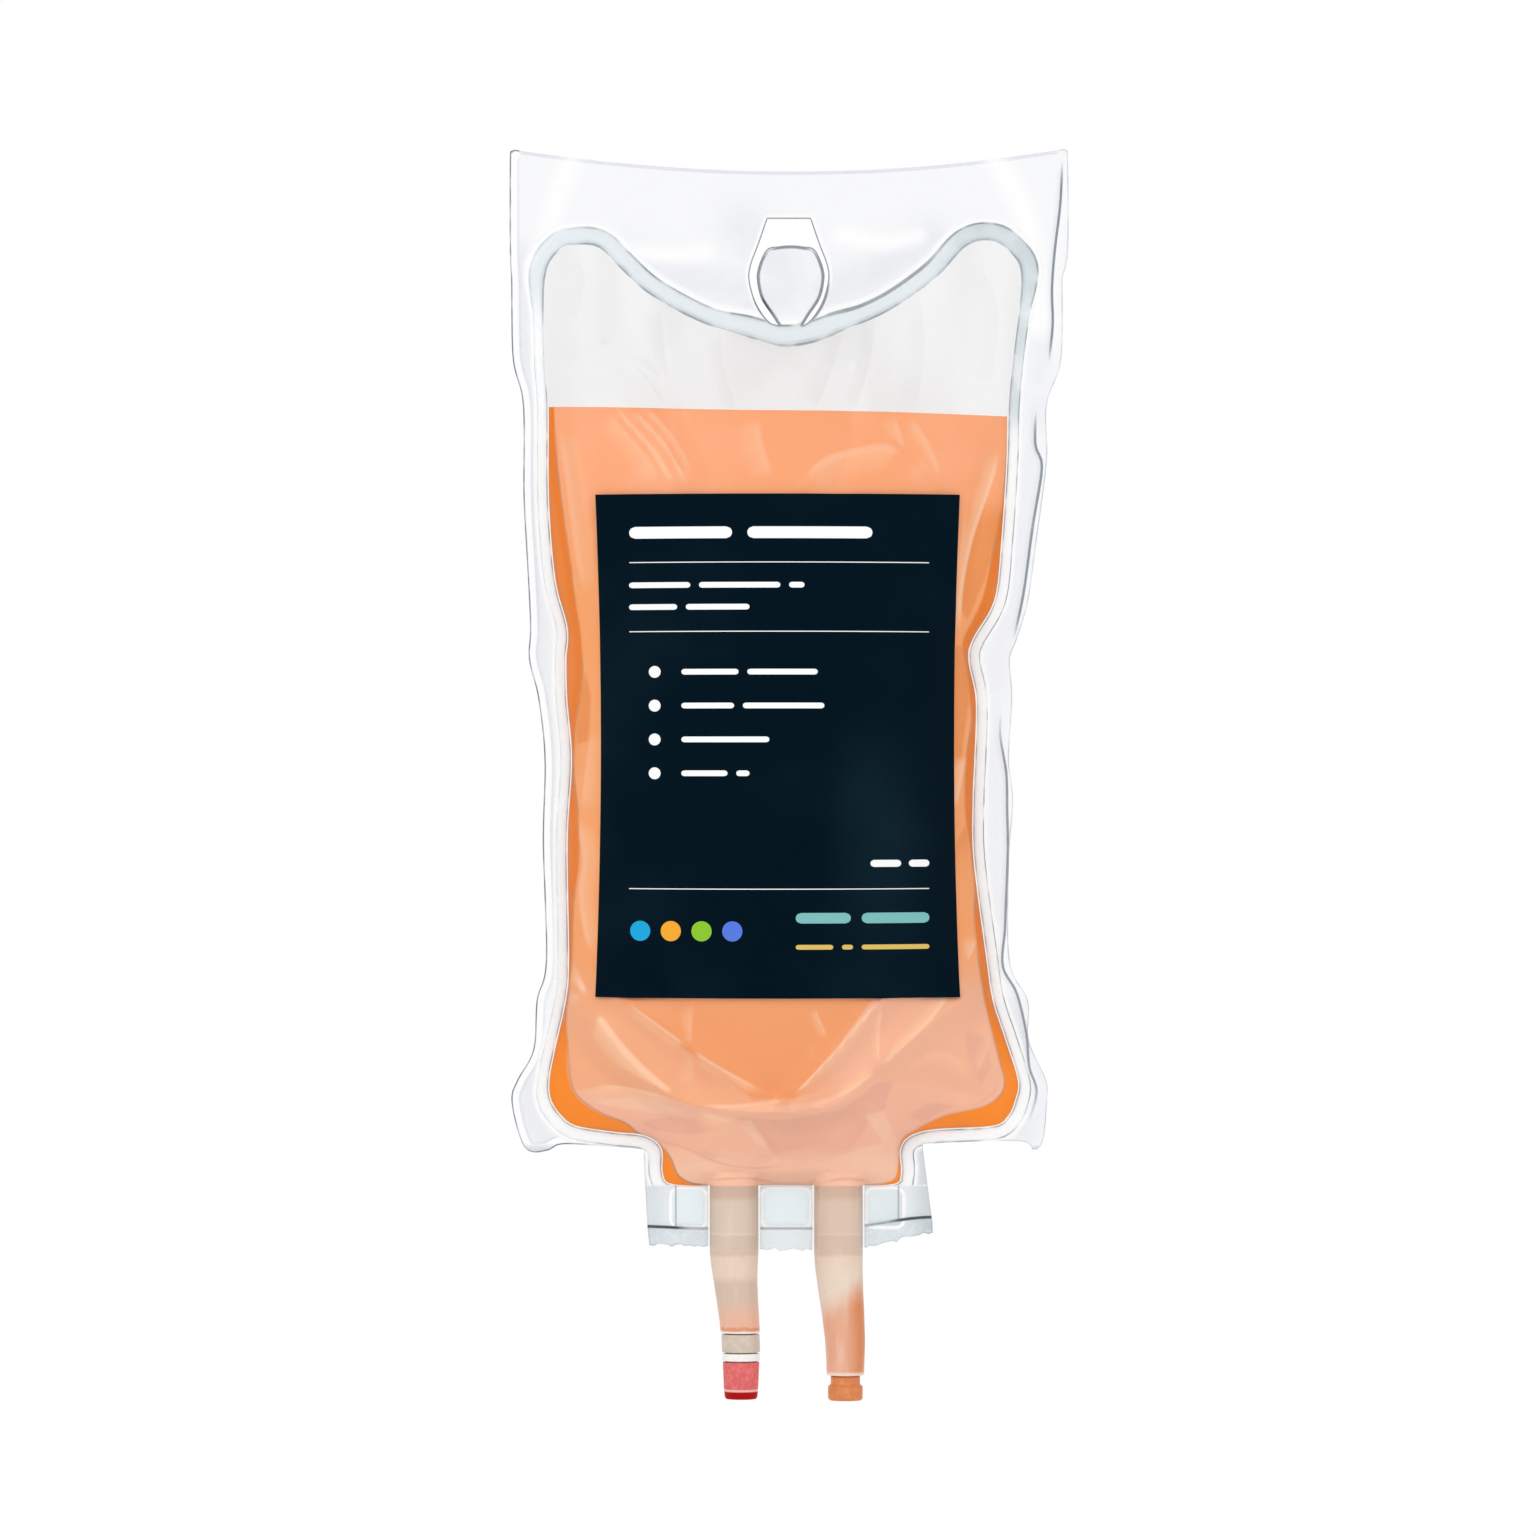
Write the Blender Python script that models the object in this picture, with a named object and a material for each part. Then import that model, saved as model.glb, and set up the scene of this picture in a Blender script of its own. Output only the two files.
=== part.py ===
# A 500 mL IV fluid bag: two welded film sheets round a body of solution, a label, an injection
# port with a rubber stopper and an outlet port with a pull-off cap.
# Metres, +Z up, front towards -Y. The origin is the top edge of the hanger eyelet, where a
# hook carries the bag, midway between the two sheets.

from math import cos, pi, radians, sin, sqrt, tan

import bmesh
import bpy
import numpy as np
from mathutils.geometry import delaunay_2d_cdt

# Film sheets and the clearance between neighbouring pieces
FILM_WIDTH = 0.1284
FILM_TOP = 0.0161
TOP_SAG = 0.0052
FILM_THICKNESS = 0.00035
FIT_GAP = 0.0003
BEAD_WIDTH = 0.0025
BEAD_HEIGHT = 0.0005
RIPPLE_HEIGHT = 0.0010
RIPPLE_LENGTH = 0.0290
TOP_WAVE_LENGTH = 0.0900
CORNER_ROUND = 0.0013

# Chamber: filling, and how far each sheet bulges at its fullest place
FLUID_LEVEL = -0.0444
BULGE = 0.0262
FULLNESS = 0.80
HEADSPACE_PRESSURE = 0.30
FLUID_INSET = 0.0011

# Bottom of the bag: the shoulders' weld line, the welded shoulder strip and the neck
SHOULDER_LEVEL = -0.2093
SHOULDER_STRIP = 0.0034
NECK_FLOOR = -0.2226
NECK_HALF_WIDTH = 0.0274
NECK_STRIP = 0.0060
LEDGE_DROP = 0.0096
HEM_HEIGHT = 0.0049
HEM_SKEW = 0.0026
PAD_EDGE = 0.0006
PAD_ROUND = 0.0015

# Hanger eyelet and the film tongue left hanging in it
EYELET_TOP_WIDTH = 0.0098
EYELET_WIDTH = 0.0180
EYELET_HEIGHT = 0.0245
TONGUE_DROP = 0.0064
TONGUE_TOP_WIDTH = 0.0092
TONGUE_SLIT = 0.0012

# Label on the front sheet
LABEL_WIDTH = 0.0835
LABEL_HEIGHT = 0.1150
LABEL_TOP = -0.0637
LABEL_OFFSET = -0.0026
LABEL_WAIST = 0.0013
LABEL_THICKNESS = 0.0002

# Port tubes: where they leave the weld, how they lean and how they taper
PORT_SPACING = 0.0240
PORT_OFFSET = -0.0006
PORT_LEAN = 0.0016
LEAN_LENGTH = 0.0230
TUBE_RADIUS = 0.0056
TUBE_WALL = 0.0010
TUBE_RISE = 0.0006
INJECTION_TAPER = 0.0064
OUTLET_TAPER = 0.0139
OUTLET_WAIST_RADIUS = 0.0049
BORE_STEP = 0.0006
LEG_ROOT = 0.0040
INJECTION_TUBE_LENGTH = 0.0342
INJECTION_TUBE_END_RADIUS = 0.0045
OUTLET_TUBE_LENGTH = 0.0439
OUTLET_TUBE_END_RADIUS = 0.0043
FILM_WRAP = radians(65.0)
HUMP_RISE = 0.0016
HUMP_FADE = 0.0085

# Injection site: moulded body, band and rubber stopper
SITE_SPIGOT_LENGTH = 0.0064
SITE_COLLAR_LENGTH = 0.0041
SITE_COLLAR_RADIUS = 0.0044
SITE_SHANK_RADIUS = 0.0032
SITE_SHANK_LENGTH = 0.0083
SITE_WALL = 0.0009
RING_LENGTH = 0.0017
RING_RADIUS = 0.0043
STOPPER_LENGTH = 0.0085
STOPPER_TOP_RADIUS = 0.0042
STOPPER_END_RADIUS = 0.0037

# Outlet: spike socket under a pierceable membrane, closed by a cap
SOCKET_RADIUS = 0.0035
SOCKET_DEPTH = 0.0118
MEMBRANE_THICKNESS = 0.0005
MEMBRANE_LEDGE = 0.0005
MEMBRANE_POCKET = 0.0030
CAP_PLUG_LENGTH = 0.0051
CAP_NECK_RADIUS = 0.0034
CAP_NECK_LENGTH = 0.0019
CAP_HEAD_RADIUS = 0.0040
CAP_HEAD_LENGTH = 0.0036
EDGE_ROUND = 0.0004

# Each side edge as (height, how far the edge is drawn in from the film's half width, flange width)
LEFT_SIDE = (
    (-0.0136, 0.0003, 0.0077),
    (-0.0321, 0.0007, 0.0072),
    (-0.0428, 0.0030, 0.0056),
    (-0.0646, 0.0032, 0.0055),
    (-0.0830, 0.0042, 0.0060),
    (-0.0942, 0.0047, 0.0083),
    (-0.1014, 0.0044, 0.0083),
    (-0.1106, 0.0066, 0.0063),
    (-0.1244, 0.0080, 0.0060),
    (-0.1428, 0.0076, 0.0054),
    (-0.1705, 0.0083, 0.0050),
    (-0.1797, 0.0062, 0.0064),
    (-0.1910, 0.0054, 0.0047),
    (-0.1981, 0.0017, 0.0071),
    (-0.2027, 0.0004, 0.0088),
)
RIGHT_SIDE = (
    (-0.0136, 0.0013, 0.0093),
    (-0.0321, 0.0015, 0.0110),
    (-0.0428, 0.0049, 0.0086),
    (-0.0554, 0.0048, 0.0090),
    (-0.0738, 0.0072, 0.0078),
    (-0.0876, 0.0091, 0.0075),
    (-0.0968, 0.0118, 0.0098),
    (-0.1014, 0.0134, 0.0092),
    (-0.1106, 0.0128, 0.0081),
    (-0.1244, 0.0136, 0.0076),
    (-0.1336, 0.0126, 0.0090),
    (-0.1474, 0.0135, 0.0079),
    (-0.1705, 0.0134, 0.0050),
    (-0.1797, 0.0092, 0.0078),
    (-0.1889, 0.0090, 0.0050),
    (-0.1981, 0.0050, 0.0062),
    (-0.2027, 0.0048, 0.0070),
)
# The chamber's top weld as (share of the way across, drop below the hanging edge)
TOP_WELD = (
    (0.030, 0.0072), (0.063, 0.0059), (0.113, 0.0064), (0.155, 0.0108),
    (0.220, 0.0172), (0.327, 0.0236), (0.444, 0.0278), (0.501, 0.0293),
    (0.568, 0.0282), (0.627, 0.0256), (0.725, 0.0208), (0.818, 0.0136),
    (0.883, 0.0062), (0.935, 0.0049), (0.976, 0.0076),
)
# Lower corners, outermost point first: (inwards from the side's last point, above the level named)
FILM_CORNER_LEFT = ((0.0021, 0.0009), (0.0045, -0.0019), (0.0086, -0.0015), (0.0128, -0.0001))
FILM_CORNER_RIGHT = ((0.0009, 0.0009), (0.0032, -0.0015), (0.0066, 0.0006))
CHAMBER_CORNER_LEFT = ((0.0024, 0.0029), (0.0060, 0.0004))
CHAMBER_CORNER_RIGHT = ((0.0017, 0.0028), (0.0054, 0.0004))
# Where the shoulders turn into the neck: (outside the neck's half width, above the shoulders)
NECK_TURN_LEFT = ((0.0128, -0.0010), (0.0051, -0.0018), (0.0013, -0.0049))
NECK_TURN_RIGHT = ((0.0064, -0.0004), (0.0006, -0.0019), (-0.0015, -0.0049))
# Where the neck's sides turn into its floor: (inside the neck's half width, above the floor)
FLOOR_TURN_LEFT = ((-0.0009, 0.0028), (0.0017, 0.0002))
FLOOR_TURN_RIGHT = ((0.0013, 0.0032), (0.0032, 0.0003))
# Eyelet and tongue edges from the foot up, as shares of their half width and of the height
EYELET_RIM = ((0.46, 0.98), (0.64, 0.91), (0.86, 0.77), (1.00, 0.58), (0.97, 0.44), (0.76, 0.23))
EYELET_TONGUE = ((0.36, 1.00), (0.56, 0.90), (0.88, 0.74), (1.00, 0.56), (0.95, 0.45), (0.81, 0.35))
# Folds of the front sheet: points (x, z) along the crest, half width and height (minus is a valley)
FRONT_FOLDS = (
    (((-0.0289, -0.0257), (-0.0294, -0.0353), (-0.0289, -0.0428)), 0.0054, -0.0011),
    (((0.0128, -0.0353), (0.0139, -0.0503), (0.0107, -0.0610)), 0.0064, -0.0013),
    (((-0.0428, -0.0353), (-0.0342, -0.0417), (-0.0257, -0.0535), (-0.0230, -0.0599)), 0.0048, 0.0010),
    (((-0.0498, -0.0514), (-0.0465, -0.0706), (-0.0423, -0.0888)), 0.0048, 0.0013),
    (((0.0481, -0.0514), (0.0444, -0.0685), (0.0417, -0.0856)), 0.0048, -0.0013),
    (((-0.0501, -0.1819), (-0.0428, -0.1856), (-0.0348, -0.1950), (-0.0254, -0.2018),
      (-0.0128, -0.2044), (0.0011, -0.2046)), 0.0059, 0.0034),
    (((-0.0366, -0.1794), (-0.0242, -0.1877), (-0.0096, -0.2001)), 0.0054, 0.0022),
    (((0.0401, -0.1790), (0.0214, -0.1930), (0.0118, -0.2024), (0.0011, -0.2046)), 0.0059, 0.0031),
    (((0.0208, -0.1790), (0.0118, -0.1894), (0.0021, -0.2001)), 0.0054, 0.0022),
    (((0.0118, -0.2065), (0.0054, -0.2124), (-0.0032, -0.2151)), 0.0043, -0.0011),
    (((0.0300, -0.1958), (0.0396, -0.2001), (0.0455, -0.2022)), 0.0048, -0.0013),
    (((-0.0471, -0.1926), (-0.0385, -0.2001), (-0.0278, -0.2065)), 0.0048, -0.0015),
)
# Folds of the back sheet, which hangs more plainly
BACK_FOLDS = (
    (((-0.0428, -0.1819), (-0.0235, -0.1980), (0.0000, -0.2033), (0.0214, -0.1958),
      (0.0396, -0.1808)), 0.0064, 0.0019),
    (((-0.0214, -0.0407), (-0.0171, -0.0556)), 0.0064, -0.0013),
    (((0.0268, -0.0353), (0.0246, -0.0535)), 0.0064, -0.0013),
)

FOLD_SHARPNESS = 1.4
FOLD_FADE = 0.0065
RIPPLE_REACH = 0.0065
INSET_KEPT = 0.97

# Fineness of the model; the clearances are shares of the sheets' spacing
SHEET_SPACING = 0.0085
GRID_CLEARANCE = 0.0038
LINE_CLEARANCE = 0.0014
LOOP_STEP = 0.0086
LOOP_TURN = radians(20.0)
CURVE_STEP = 0.0004
PORT_SIDES = 20

HALF_SEAM = FIT_GAP / 2
TUBE_TOP = NECK_FLOOR + TUBE_RISE
FILM_FOOT = NECK_FLOOR - LEDGE_DROP - HEM_HEIGHT
PORT_CENTRES = (PORT_OFFSET - PORT_SPACING / 2, PORT_OFFSET + PORT_SPACING / 2)
STRAIGHT_END = FILM_FOOT - BORE_STEP

# Heights and radii of the ports, each from the piece above or around it
INJECTION_END = TUBE_TOP - INJECTION_TUBE_LENGTH
INJECTION_BORE = INJECTION_TUBE_END_RADIUS - TUBE_WALL
SITE_TOP = INJECTION_END - FIT_GAP
SPIGOT_TOP = SITE_TOP + SITE_SPIGOT_LENGTH
SPIGOT_RADIUS = INJECTION_BORE - FIT_GAP
SITE_BORE = SPIGOT_RADIUS - SITE_WALL
SHANK_TOP = SITE_TOP - SITE_COLLAR_LENGTH
SHANK_END = SHANK_TOP - SITE_SHANK_LENGTH
RING_TOP = SHANK_TOP - FIT_GAP
STOPPER_TOP = RING_TOP - RING_LENGTH - FIT_GAP
STOPPER_END = STOPPER_TOP - STOPPER_LENGTH
OUTLET_END = TUBE_TOP - OUTLET_TUBE_LENGTH
MEMBRANE_SEAT = OUTLET_END + SOCKET_DEPTH
MEMBRANE_TOP = MEMBRANE_SEAT + FIT_GAP + MEMBRANE_THICKNESS
POCKET_RADIUS = SOCKET_RADIUS + MEMBRANE_LEDGE
CAP_TOP = OUTLET_END + CAP_PLUG_LENGTH
CAP_NECK_TOP = OUTLET_END - FIT_GAP
CAP_NECK_END = CAP_NECK_TOP - CAP_NECK_LENGTH
CAP_END = CAP_NECK_END - CAP_HEAD_LENGTH


def clear_scene():
    for found in list(bpy.data.objects):
        bpy.data.objects.remove(found, do_unlink=True)


def principled(name, colour, roughness, alpha=1.0, transmission=0.0):
    made = bpy.data.materials.new(name)
    made.use_nodes = True
    shader = made.node_tree.nodes["Principled BSDF"]
    shader.inputs["Base Color"].default_value = (*colour, 1.0)
    shader.inputs["Roughness"].default_value = roughness
    shader.inputs["Metallic"].default_value = 0.0
    shader.inputs["Alpha"].default_value = alpha
    shader.inputs["Transmission Weight"].default_value = transmission
    made.diffuse_color = (*colour, 1.0)
    return made


def add_object(name, mesh, material):
    made = bpy.data.objects.new(name, mesh)
    bpy.context.scene.collection.objects.link(made)
    mesh.materials.append(material)
    return made


# Curves in the sheet's plane, as arrays of (x, z)
def smooth_curve(points, closed=False):
    # Catmull-Rom through the points, sampled finely
    knots = np.array(points, dtype=float)
    count = len(knots)
    spans = count if closed else count - 1
    samples = []
    for index in range(spans):
        if closed:
            quad = [knots[(index + shift) % count] for shift in (-1, 0, 1, 2)]
        else:
            quad = [knots[min(max(index + shift, 0), count - 1)] for shift in (-1, 0, 1, 2)]
        before, start, end, after = quad
        steps = max(2, int(np.linalg.norm(end - start) / CURVE_STEP))
        t = np.linspace(0.0, 1.0, steps, endpoint=False)[:, None]
        samples.append(0.5 * (2 * start + (end - before) * t
                              + (2 * before - 5 * start + 4 * end - after) * t ** 2
                              + (3 * start - before - 3 * end + after) * t ** 3))
    if not closed:
        samples.append(knots[-1:])
    return np.vstack(samples)


def thinned(curve, step, turn, closed=False):
    # keep a sample once the curve has run one step or turned one angle since the last
    heading = np.diff(curve, axis=0, append=curve[:1])
    angle = np.unwrap(np.arctan2(heading[:, 1], heading[:, 0]))
    length = np.linalg.norm(heading, axis=1)
    kept = [0]
    run = 0.0
    last = len(curve) - 1
    for index in range(1, last):
        run += length[index - 1]
        if run >= step or abs(angle[index] - angle[kept[-1]]) >= turn and run > step / 8:
            kept.append(index)
            run = 0.0
    if closed:
        if np.linalg.norm(curve[kept[-1]] - curve[0]) < step / 5:
            kept.pop()
    else:
        kept.append(last)
    return curve[kept]


def inset(loop, depth):
    # move a counterclockwise loop inwards along its normals
    along = np.roll(loop, -1, axis=0) - np.roll(loop, 1, axis=0)
    along /= np.linalg.norm(along, axis=1)[:, None]
    return loop + depth * np.column_stack((-along[:, 1], along[:, 0]))


def inside(points, loop):
    # even-odd test of many points against one loop
    x, z = points[:, 0][:, None], points[:, 1][:, None]
    ax, az = loop[:, 0], loop[:, 1]
    bx, bz = np.roll(ax, -1), np.roll(az, -1)
    spans = (az > z) != (bz > z)
    rise = np.where(bz == az, 1.0, bz - az)
    crossing = ax + (z - az) * (bx - ax) / rise
    return (np.sum(spans & (x < crossing), axis=1) % 2) == 1


def distance(points, line, closed=False):
    # shortest distance from many points to one polyline
    starts = line if closed else line[:-1]
    ends = np.roll(line, -1, axis=0) if closed else line[1:]
    best = np.full(len(points), np.inf)
    for start, end in zip(starts, ends):
        run = end - start
        share = np.clip((points - start) @ run / max(run @ run, 1e-18), 0.0, 1.0)
        best = np.minimum(best, np.linalg.norm(points - start - share[:, None] * run, axis=1))
    return best


def smoothstep(low, high, value):
    share = np.clip((value - low) / (high - low), 0.0, 1.0)
    return share * share * (3.0 - 2.0 * share)


# Outlines of the sheets
def side_points(side, sign, of_weld):
    return [(sign * (FILM_WIDTH / 2 - drawn - (flange if of_weld else 0.0)), height)
            for height, drawn, flange in side]


def mirrored(points):
    return [(-x, z) for x, z in points]


def stepped(corner, start, level, sign):
    return [(start + sign * inwards, level + above) for inwards, above in corner]


def film_loop():
    half = FILM_WIDTH / 2
    left = side_points(LEFT_SIDE, -1, False)
    right = side_points(RIGHT_SIDE, 1, False)
    strip = SHOULDER_LEVEL - SHOULDER_STRIP
    neck = NECK_HALF_WIDTH + NECK_STRIP
    ledge = NECK_FLOOR - LEDGE_DROP
    top = [(half * share, FILM_TOP - TOP_SAG * (1 - share ** 2)) for share in np.linspace(0.96, -0.96, 9)]
    shoulder = [(half, right[0][1] / 2), (half, FILM_TOP - 2 * CORNER_ROUND),
                (half - CORNER_ROUND / 4, FILM_TOP - CORNER_ROUND / 2), (half - CORNER_ROUND, FILM_TOP)]
    upper = smooth_curve([right[0]] + shoulder + top + mirrored(shoulder)[::-1] + [left[0]])
    lower_left = smooth_curve(left + stepped(FILM_CORNER_LEFT, left[-1][0], strip, 1)
                              + [(-neck, strip - CORNER_ROUND)])
    lower_right = smooth_curve([(neck - HEM_SKEW, strip)]
                               + stepped(FILM_CORNER_RIGHT, right[-1][0], strip, -1)[::-1] + right[::-1])
    foot = np.array([(-neck, ledge), (-neck + CORNER_ROUND, FILM_FOOT + CORNER_ROUND), (-neck / 2, FILM_FOOT),
                     (0.0, FILM_FOOT), (neck / 2, FILM_FOOT), (neck, FILM_FOOT + HEM_SKEW),
                     (neck - CORNER_ROUND / 2, ledge + HEM_SKEW / 2)])
    loop = np.vstack([thinned(upper, LOOP_STEP, LOOP_TURN), thinned(lower_left, LOOP_STEP, LOOP_TURN), foot,
                      thinned(lower_right, LOOP_STEP, LOOP_TURN)])
    apart = np.linalg.norm(loop - np.roll(loop, 1, axis=0), axis=1) > CURVE_STEP
    return loop[apart]


def chamber_loop():
    left = side_points(LEFT_SIDE, -1, True)
    right = side_points(RIGHT_SIDE, 1, True)
    span = right[0][0] - left[0][0]
    top = [(left[0][0] + share * span, -drop) for share, drop in TOP_WELD]
    neck = NECK_HALF_WIDTH
    lower_left = (stepped(CHAMBER_CORNER_LEFT, left[-1][0], SHOULDER_LEVEL, 1)
                  + stepped(NECK_TURN_LEFT, -neck, SHOULDER_LEVEL, -1)
                  + stepped(FLOOR_TURN_LEFT, -neck, NECK_FLOOR, 1))
    floor = [(PORT_CENTRES[0], NECK_FLOOR), (PORT_OFFSET, NECK_FLOOR), (PORT_CENTRES[1], NECK_FLOOR)]
    lower_right = (stepped(FLOOR_TURN_RIGHT, neck, NECK_FLOOR, -1)[::-1]
                   + stepped(NECK_TURN_RIGHT, neck, SHOULDER_LEVEL, 1)[::-1]
                   + stepped(CHAMBER_CORNER_RIGHT, right[-1][0], SHOULDER_LEVEL, -1)[::-1])
    return smooth_curve(left + lower_left + floor + lower_right + right[::-1] + top[::-1], closed=True)


def fluid_loop(chamber):
    # the chamber's outline drawn in a little, and cut off flat at the fluid's level; tight turns
    # would loop back on themselves, so samples that come too near the outline are dropped
    drawn = inset(chamber, FLUID_INSET)
    drawn = drawn[distance(drawn, chamber, True) > FLUID_INSET * INSET_KEPT]
    below = drawn[:, 1] < FLUID_LEVEL
    first = np.flatnonzero(below & ~np.roll(below, 1))[0]
    wet = np.roll(drawn, -first, axis=0)[:np.count_nonzero(below)]
    left, right = wet[0][0], wet[-1][0]
    sides = thinned(np.vstack((wet, [[right, FLUID_LEVEL]])), LOOP_STEP, LOOP_TURN)
    across = np.linspace(right, left, int((right - left) / LOOP_STEP))[1:]
    return np.vstack((sides, np.column_stack((across, np.full(len(across), FLUID_LEVEL)))))


def eyelet_loop():
    # teardrop cut-out left open round a tongue that hangs from its lower end
    half = EYELET_WIDTH / 2
    rim = smooth_curve([(-half * across, -EYELET_HEIGHT * down) for across, down in EYELET_RIM]
                       + [(-EYELET_TOP_WIDTH / 2, 0.0)])
    wide = half - TONGUE_SLIT
    tongue = smooth_curve([(wide * across, -EYELET_HEIGHT * down) for across, down in EYELET_TONGUE]
                          + [(TONGUE_TOP_WIDTH / 2, -TONGUE_DROP)])
    rim = thinned(rim, LOOP_STEP, LOOP_TURN)
    tongue = thinned(tongue, LOOP_STEP, LOOP_TURN)
    flip = np.array([-1.0, 1.0])
    return np.vstack((rim, (rim * flip)[::-1], tongue, (tongue * flip)[::-1]))[::-1]


def label_loop():
    # straight ends, sides drawn in a little at half height
    half = LABEL_WIDTH / 2
    middle = LABEL_TOP - LABEL_HEIGHT / 2
    heights = np.linspace(LABEL_TOP - LABEL_HEIGHT, LABEL_TOP, int(LABEL_HEIGHT / LOOP_STEP))
    drawn = LABEL_WAIST * (1.0 - ((heights - middle) / (LABEL_HEIGHT / 2)) ** 2)
    widths = np.linspace(-half, half, int(LABEL_WIDTH / LOOP_STEP))[1:-1]
    right = np.column_stack((half - drawn, heights))
    top = np.column_stack((widths[::-1], np.full(len(widths), LABEL_TOP)))
    left = np.column_stack((-half + drawn, heights))[::-1]
    bottom = np.column_stack((widths, np.full(len(widths), LABEL_TOP - LABEL_HEIGHT)))
    return np.vstack((right, top, left, bottom)) + np.array([LABEL_OFFSET, 0.0])


# Humps of the sheets over the tubes in the neck: round on top, straight down to the seam
def hump_radius():
    return TUBE_RADIUS + FIT_GAP - HALF_SEAM


def hump_edge():
    return hump_radius() * sin(FILM_WRAP)


def hump_foot():
    return hump_edge() + hump_radius() * cos(FILM_WRAP) / tan(FILM_WRAP)


def hump_lines():
    # lines down each hump along which the sheet folds round the tube
    offsets = [hump_radius() * sin(FILM_WRAP * share) for share in (0.0, 0.36, 0.68, 1.0)] + [hump_foot()]
    heights = np.linspace(TUBE_TOP + HUMP_RISE, FILM_FOOT - HUMP_RISE, 4)
    places = sorted({sign * offset for offset in offsets for sign in (-1, 1)})
    return [np.column_stack((np.full(len(heights), centre + place), heights))
            for centre in PORT_CENTRES for place in places]


def hump_height(points):
    tallest = np.zeros(len(points))
    for centre in PORT_CENTRES:
        across = np.abs(points[:, 0] - centre)
        crown = np.sqrt(np.maximum(hump_radius() ** 2 - across ** 2, 0.0))
        skirt = hump_radius() * cos(FILM_WRAP) - (across - hump_edge()) * tan(FILM_WRAP)
        tallest = np.maximum(tallest, np.where(across < hump_edge(), crown, np.maximum(skirt, 0.0)))
    return tallest * (1.0 - smoothstep(TUBE_TOP + HUMP_RISE, TUBE_TOP + HUMP_FADE, points[:, 1]))


def pad_loops():
    # welded pads beside and between the tubes, each as its foot and its slightly smaller top
    clear = hump_foot() + FIT_GAP
    over = NECK_FLOOR - PAD_EDGE
    under = NECK_FLOOR - LEDGE_DROP + PAD_EDGE
    spans = ((-NECK_HALF_WIDTH + PAD_EDGE, PORT_CENTRES[0] - clear),
             (PORT_CENTRES[0] + clear, PORT_CENTRES[1] - clear),
             (PORT_CENTRES[1] + clear, NECK_HALF_WIDTH - FLOOR_TURN_RIGHT[0][0]))
    feet, tops = [], []
    for left, right in spans:
        for loops, drawn in ((feet, 0.0), (tops, PAD_EDGE)):
            west, east, south, north = left + drawn, right - drawn, under + drawn, over - drawn
            cut = PAD_ROUND - drawn
            loops.append(np.array([(west + cut, south), (east - cut, south), (east, south + cut),
                                   (east, north - cut), (east - cut, north), (west + cut, north),
                                   (west, north - cut), (west, south + cut)]))
    return feet, tops


# Sheet meshing: a triangulated plane sheet with folds, welds and holes as its edges
def clear_runs(line, chains):
    # the stretches of a fine line that keep clear of every closed chain
    near = np.minimum.reduce([distance(line, chain, True) for chain in chains])
    good = near > LINE_CLEARANCE
    starts = np.flatnonzero(good & ~np.append(False, good[:-1]))
    ends = np.flatnonzero(good & ~np.append(good[1:], False))
    return [thinned(line[start:end + 1], SHEET_SPACING, LOOP_TURN)
            for start, end in zip(starts, ends) if end > start + 3]


def staggered_grid(low, high):
    rows = []
    for row, height in enumerate(np.arange(low[1], high[1], SHEET_SPACING * sqrt(3) / 2)):
        across = np.arange(low[0] + (SHEET_SPACING / 2 if row % 2 else 0.0), high[0], SHEET_SPACING)
        rows.append(np.column_stack((across, np.full(len(across), height))))
    return np.vstack(rows)


def triangulate(outline, holes, loops, folds, lines):
    closed = [outline] + holes + loops
    runs = [run for fold in folds for run in clear_runs(fold, closed)] + lines
    grid = staggered_grid(outline.min(axis=0), outline.max(axis=0))
    grid = grid[inside(grid, outline)]
    for chain in closed:
        grid = grid[distance(grid, chain, True) > GRID_CLEARANCE]
    for run in runs:
        grid = grid[distance(grid, run) > GRID_CLEARANCE]
    points, edges = [], []
    for chain in closed + runs:
        first = len(points)
        points.extend(map(tuple, chain))
        edges.extend((first + step, first + step + 1) for step in range(len(chain) - 1))
        if any(chain is loop for loop in closed):
            edges.append((len(points) - 1, first))
    points.extend(map(tuple, grid))
    verts, _, faces, _, _, _ = delaunay_2d_cdt(points, edges, [], 0, 1e-7)
    flat = np.array([tuple(vert) for vert in verts])
    triangles = np.array([tuple(face) for face in faces])
    middles = flat[triangles].mean(axis=1)
    good = inside(middles, outline)
    for hole in holes:
        good &= ~inside(middles, hole)
    return flat, triangles[good]


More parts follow.
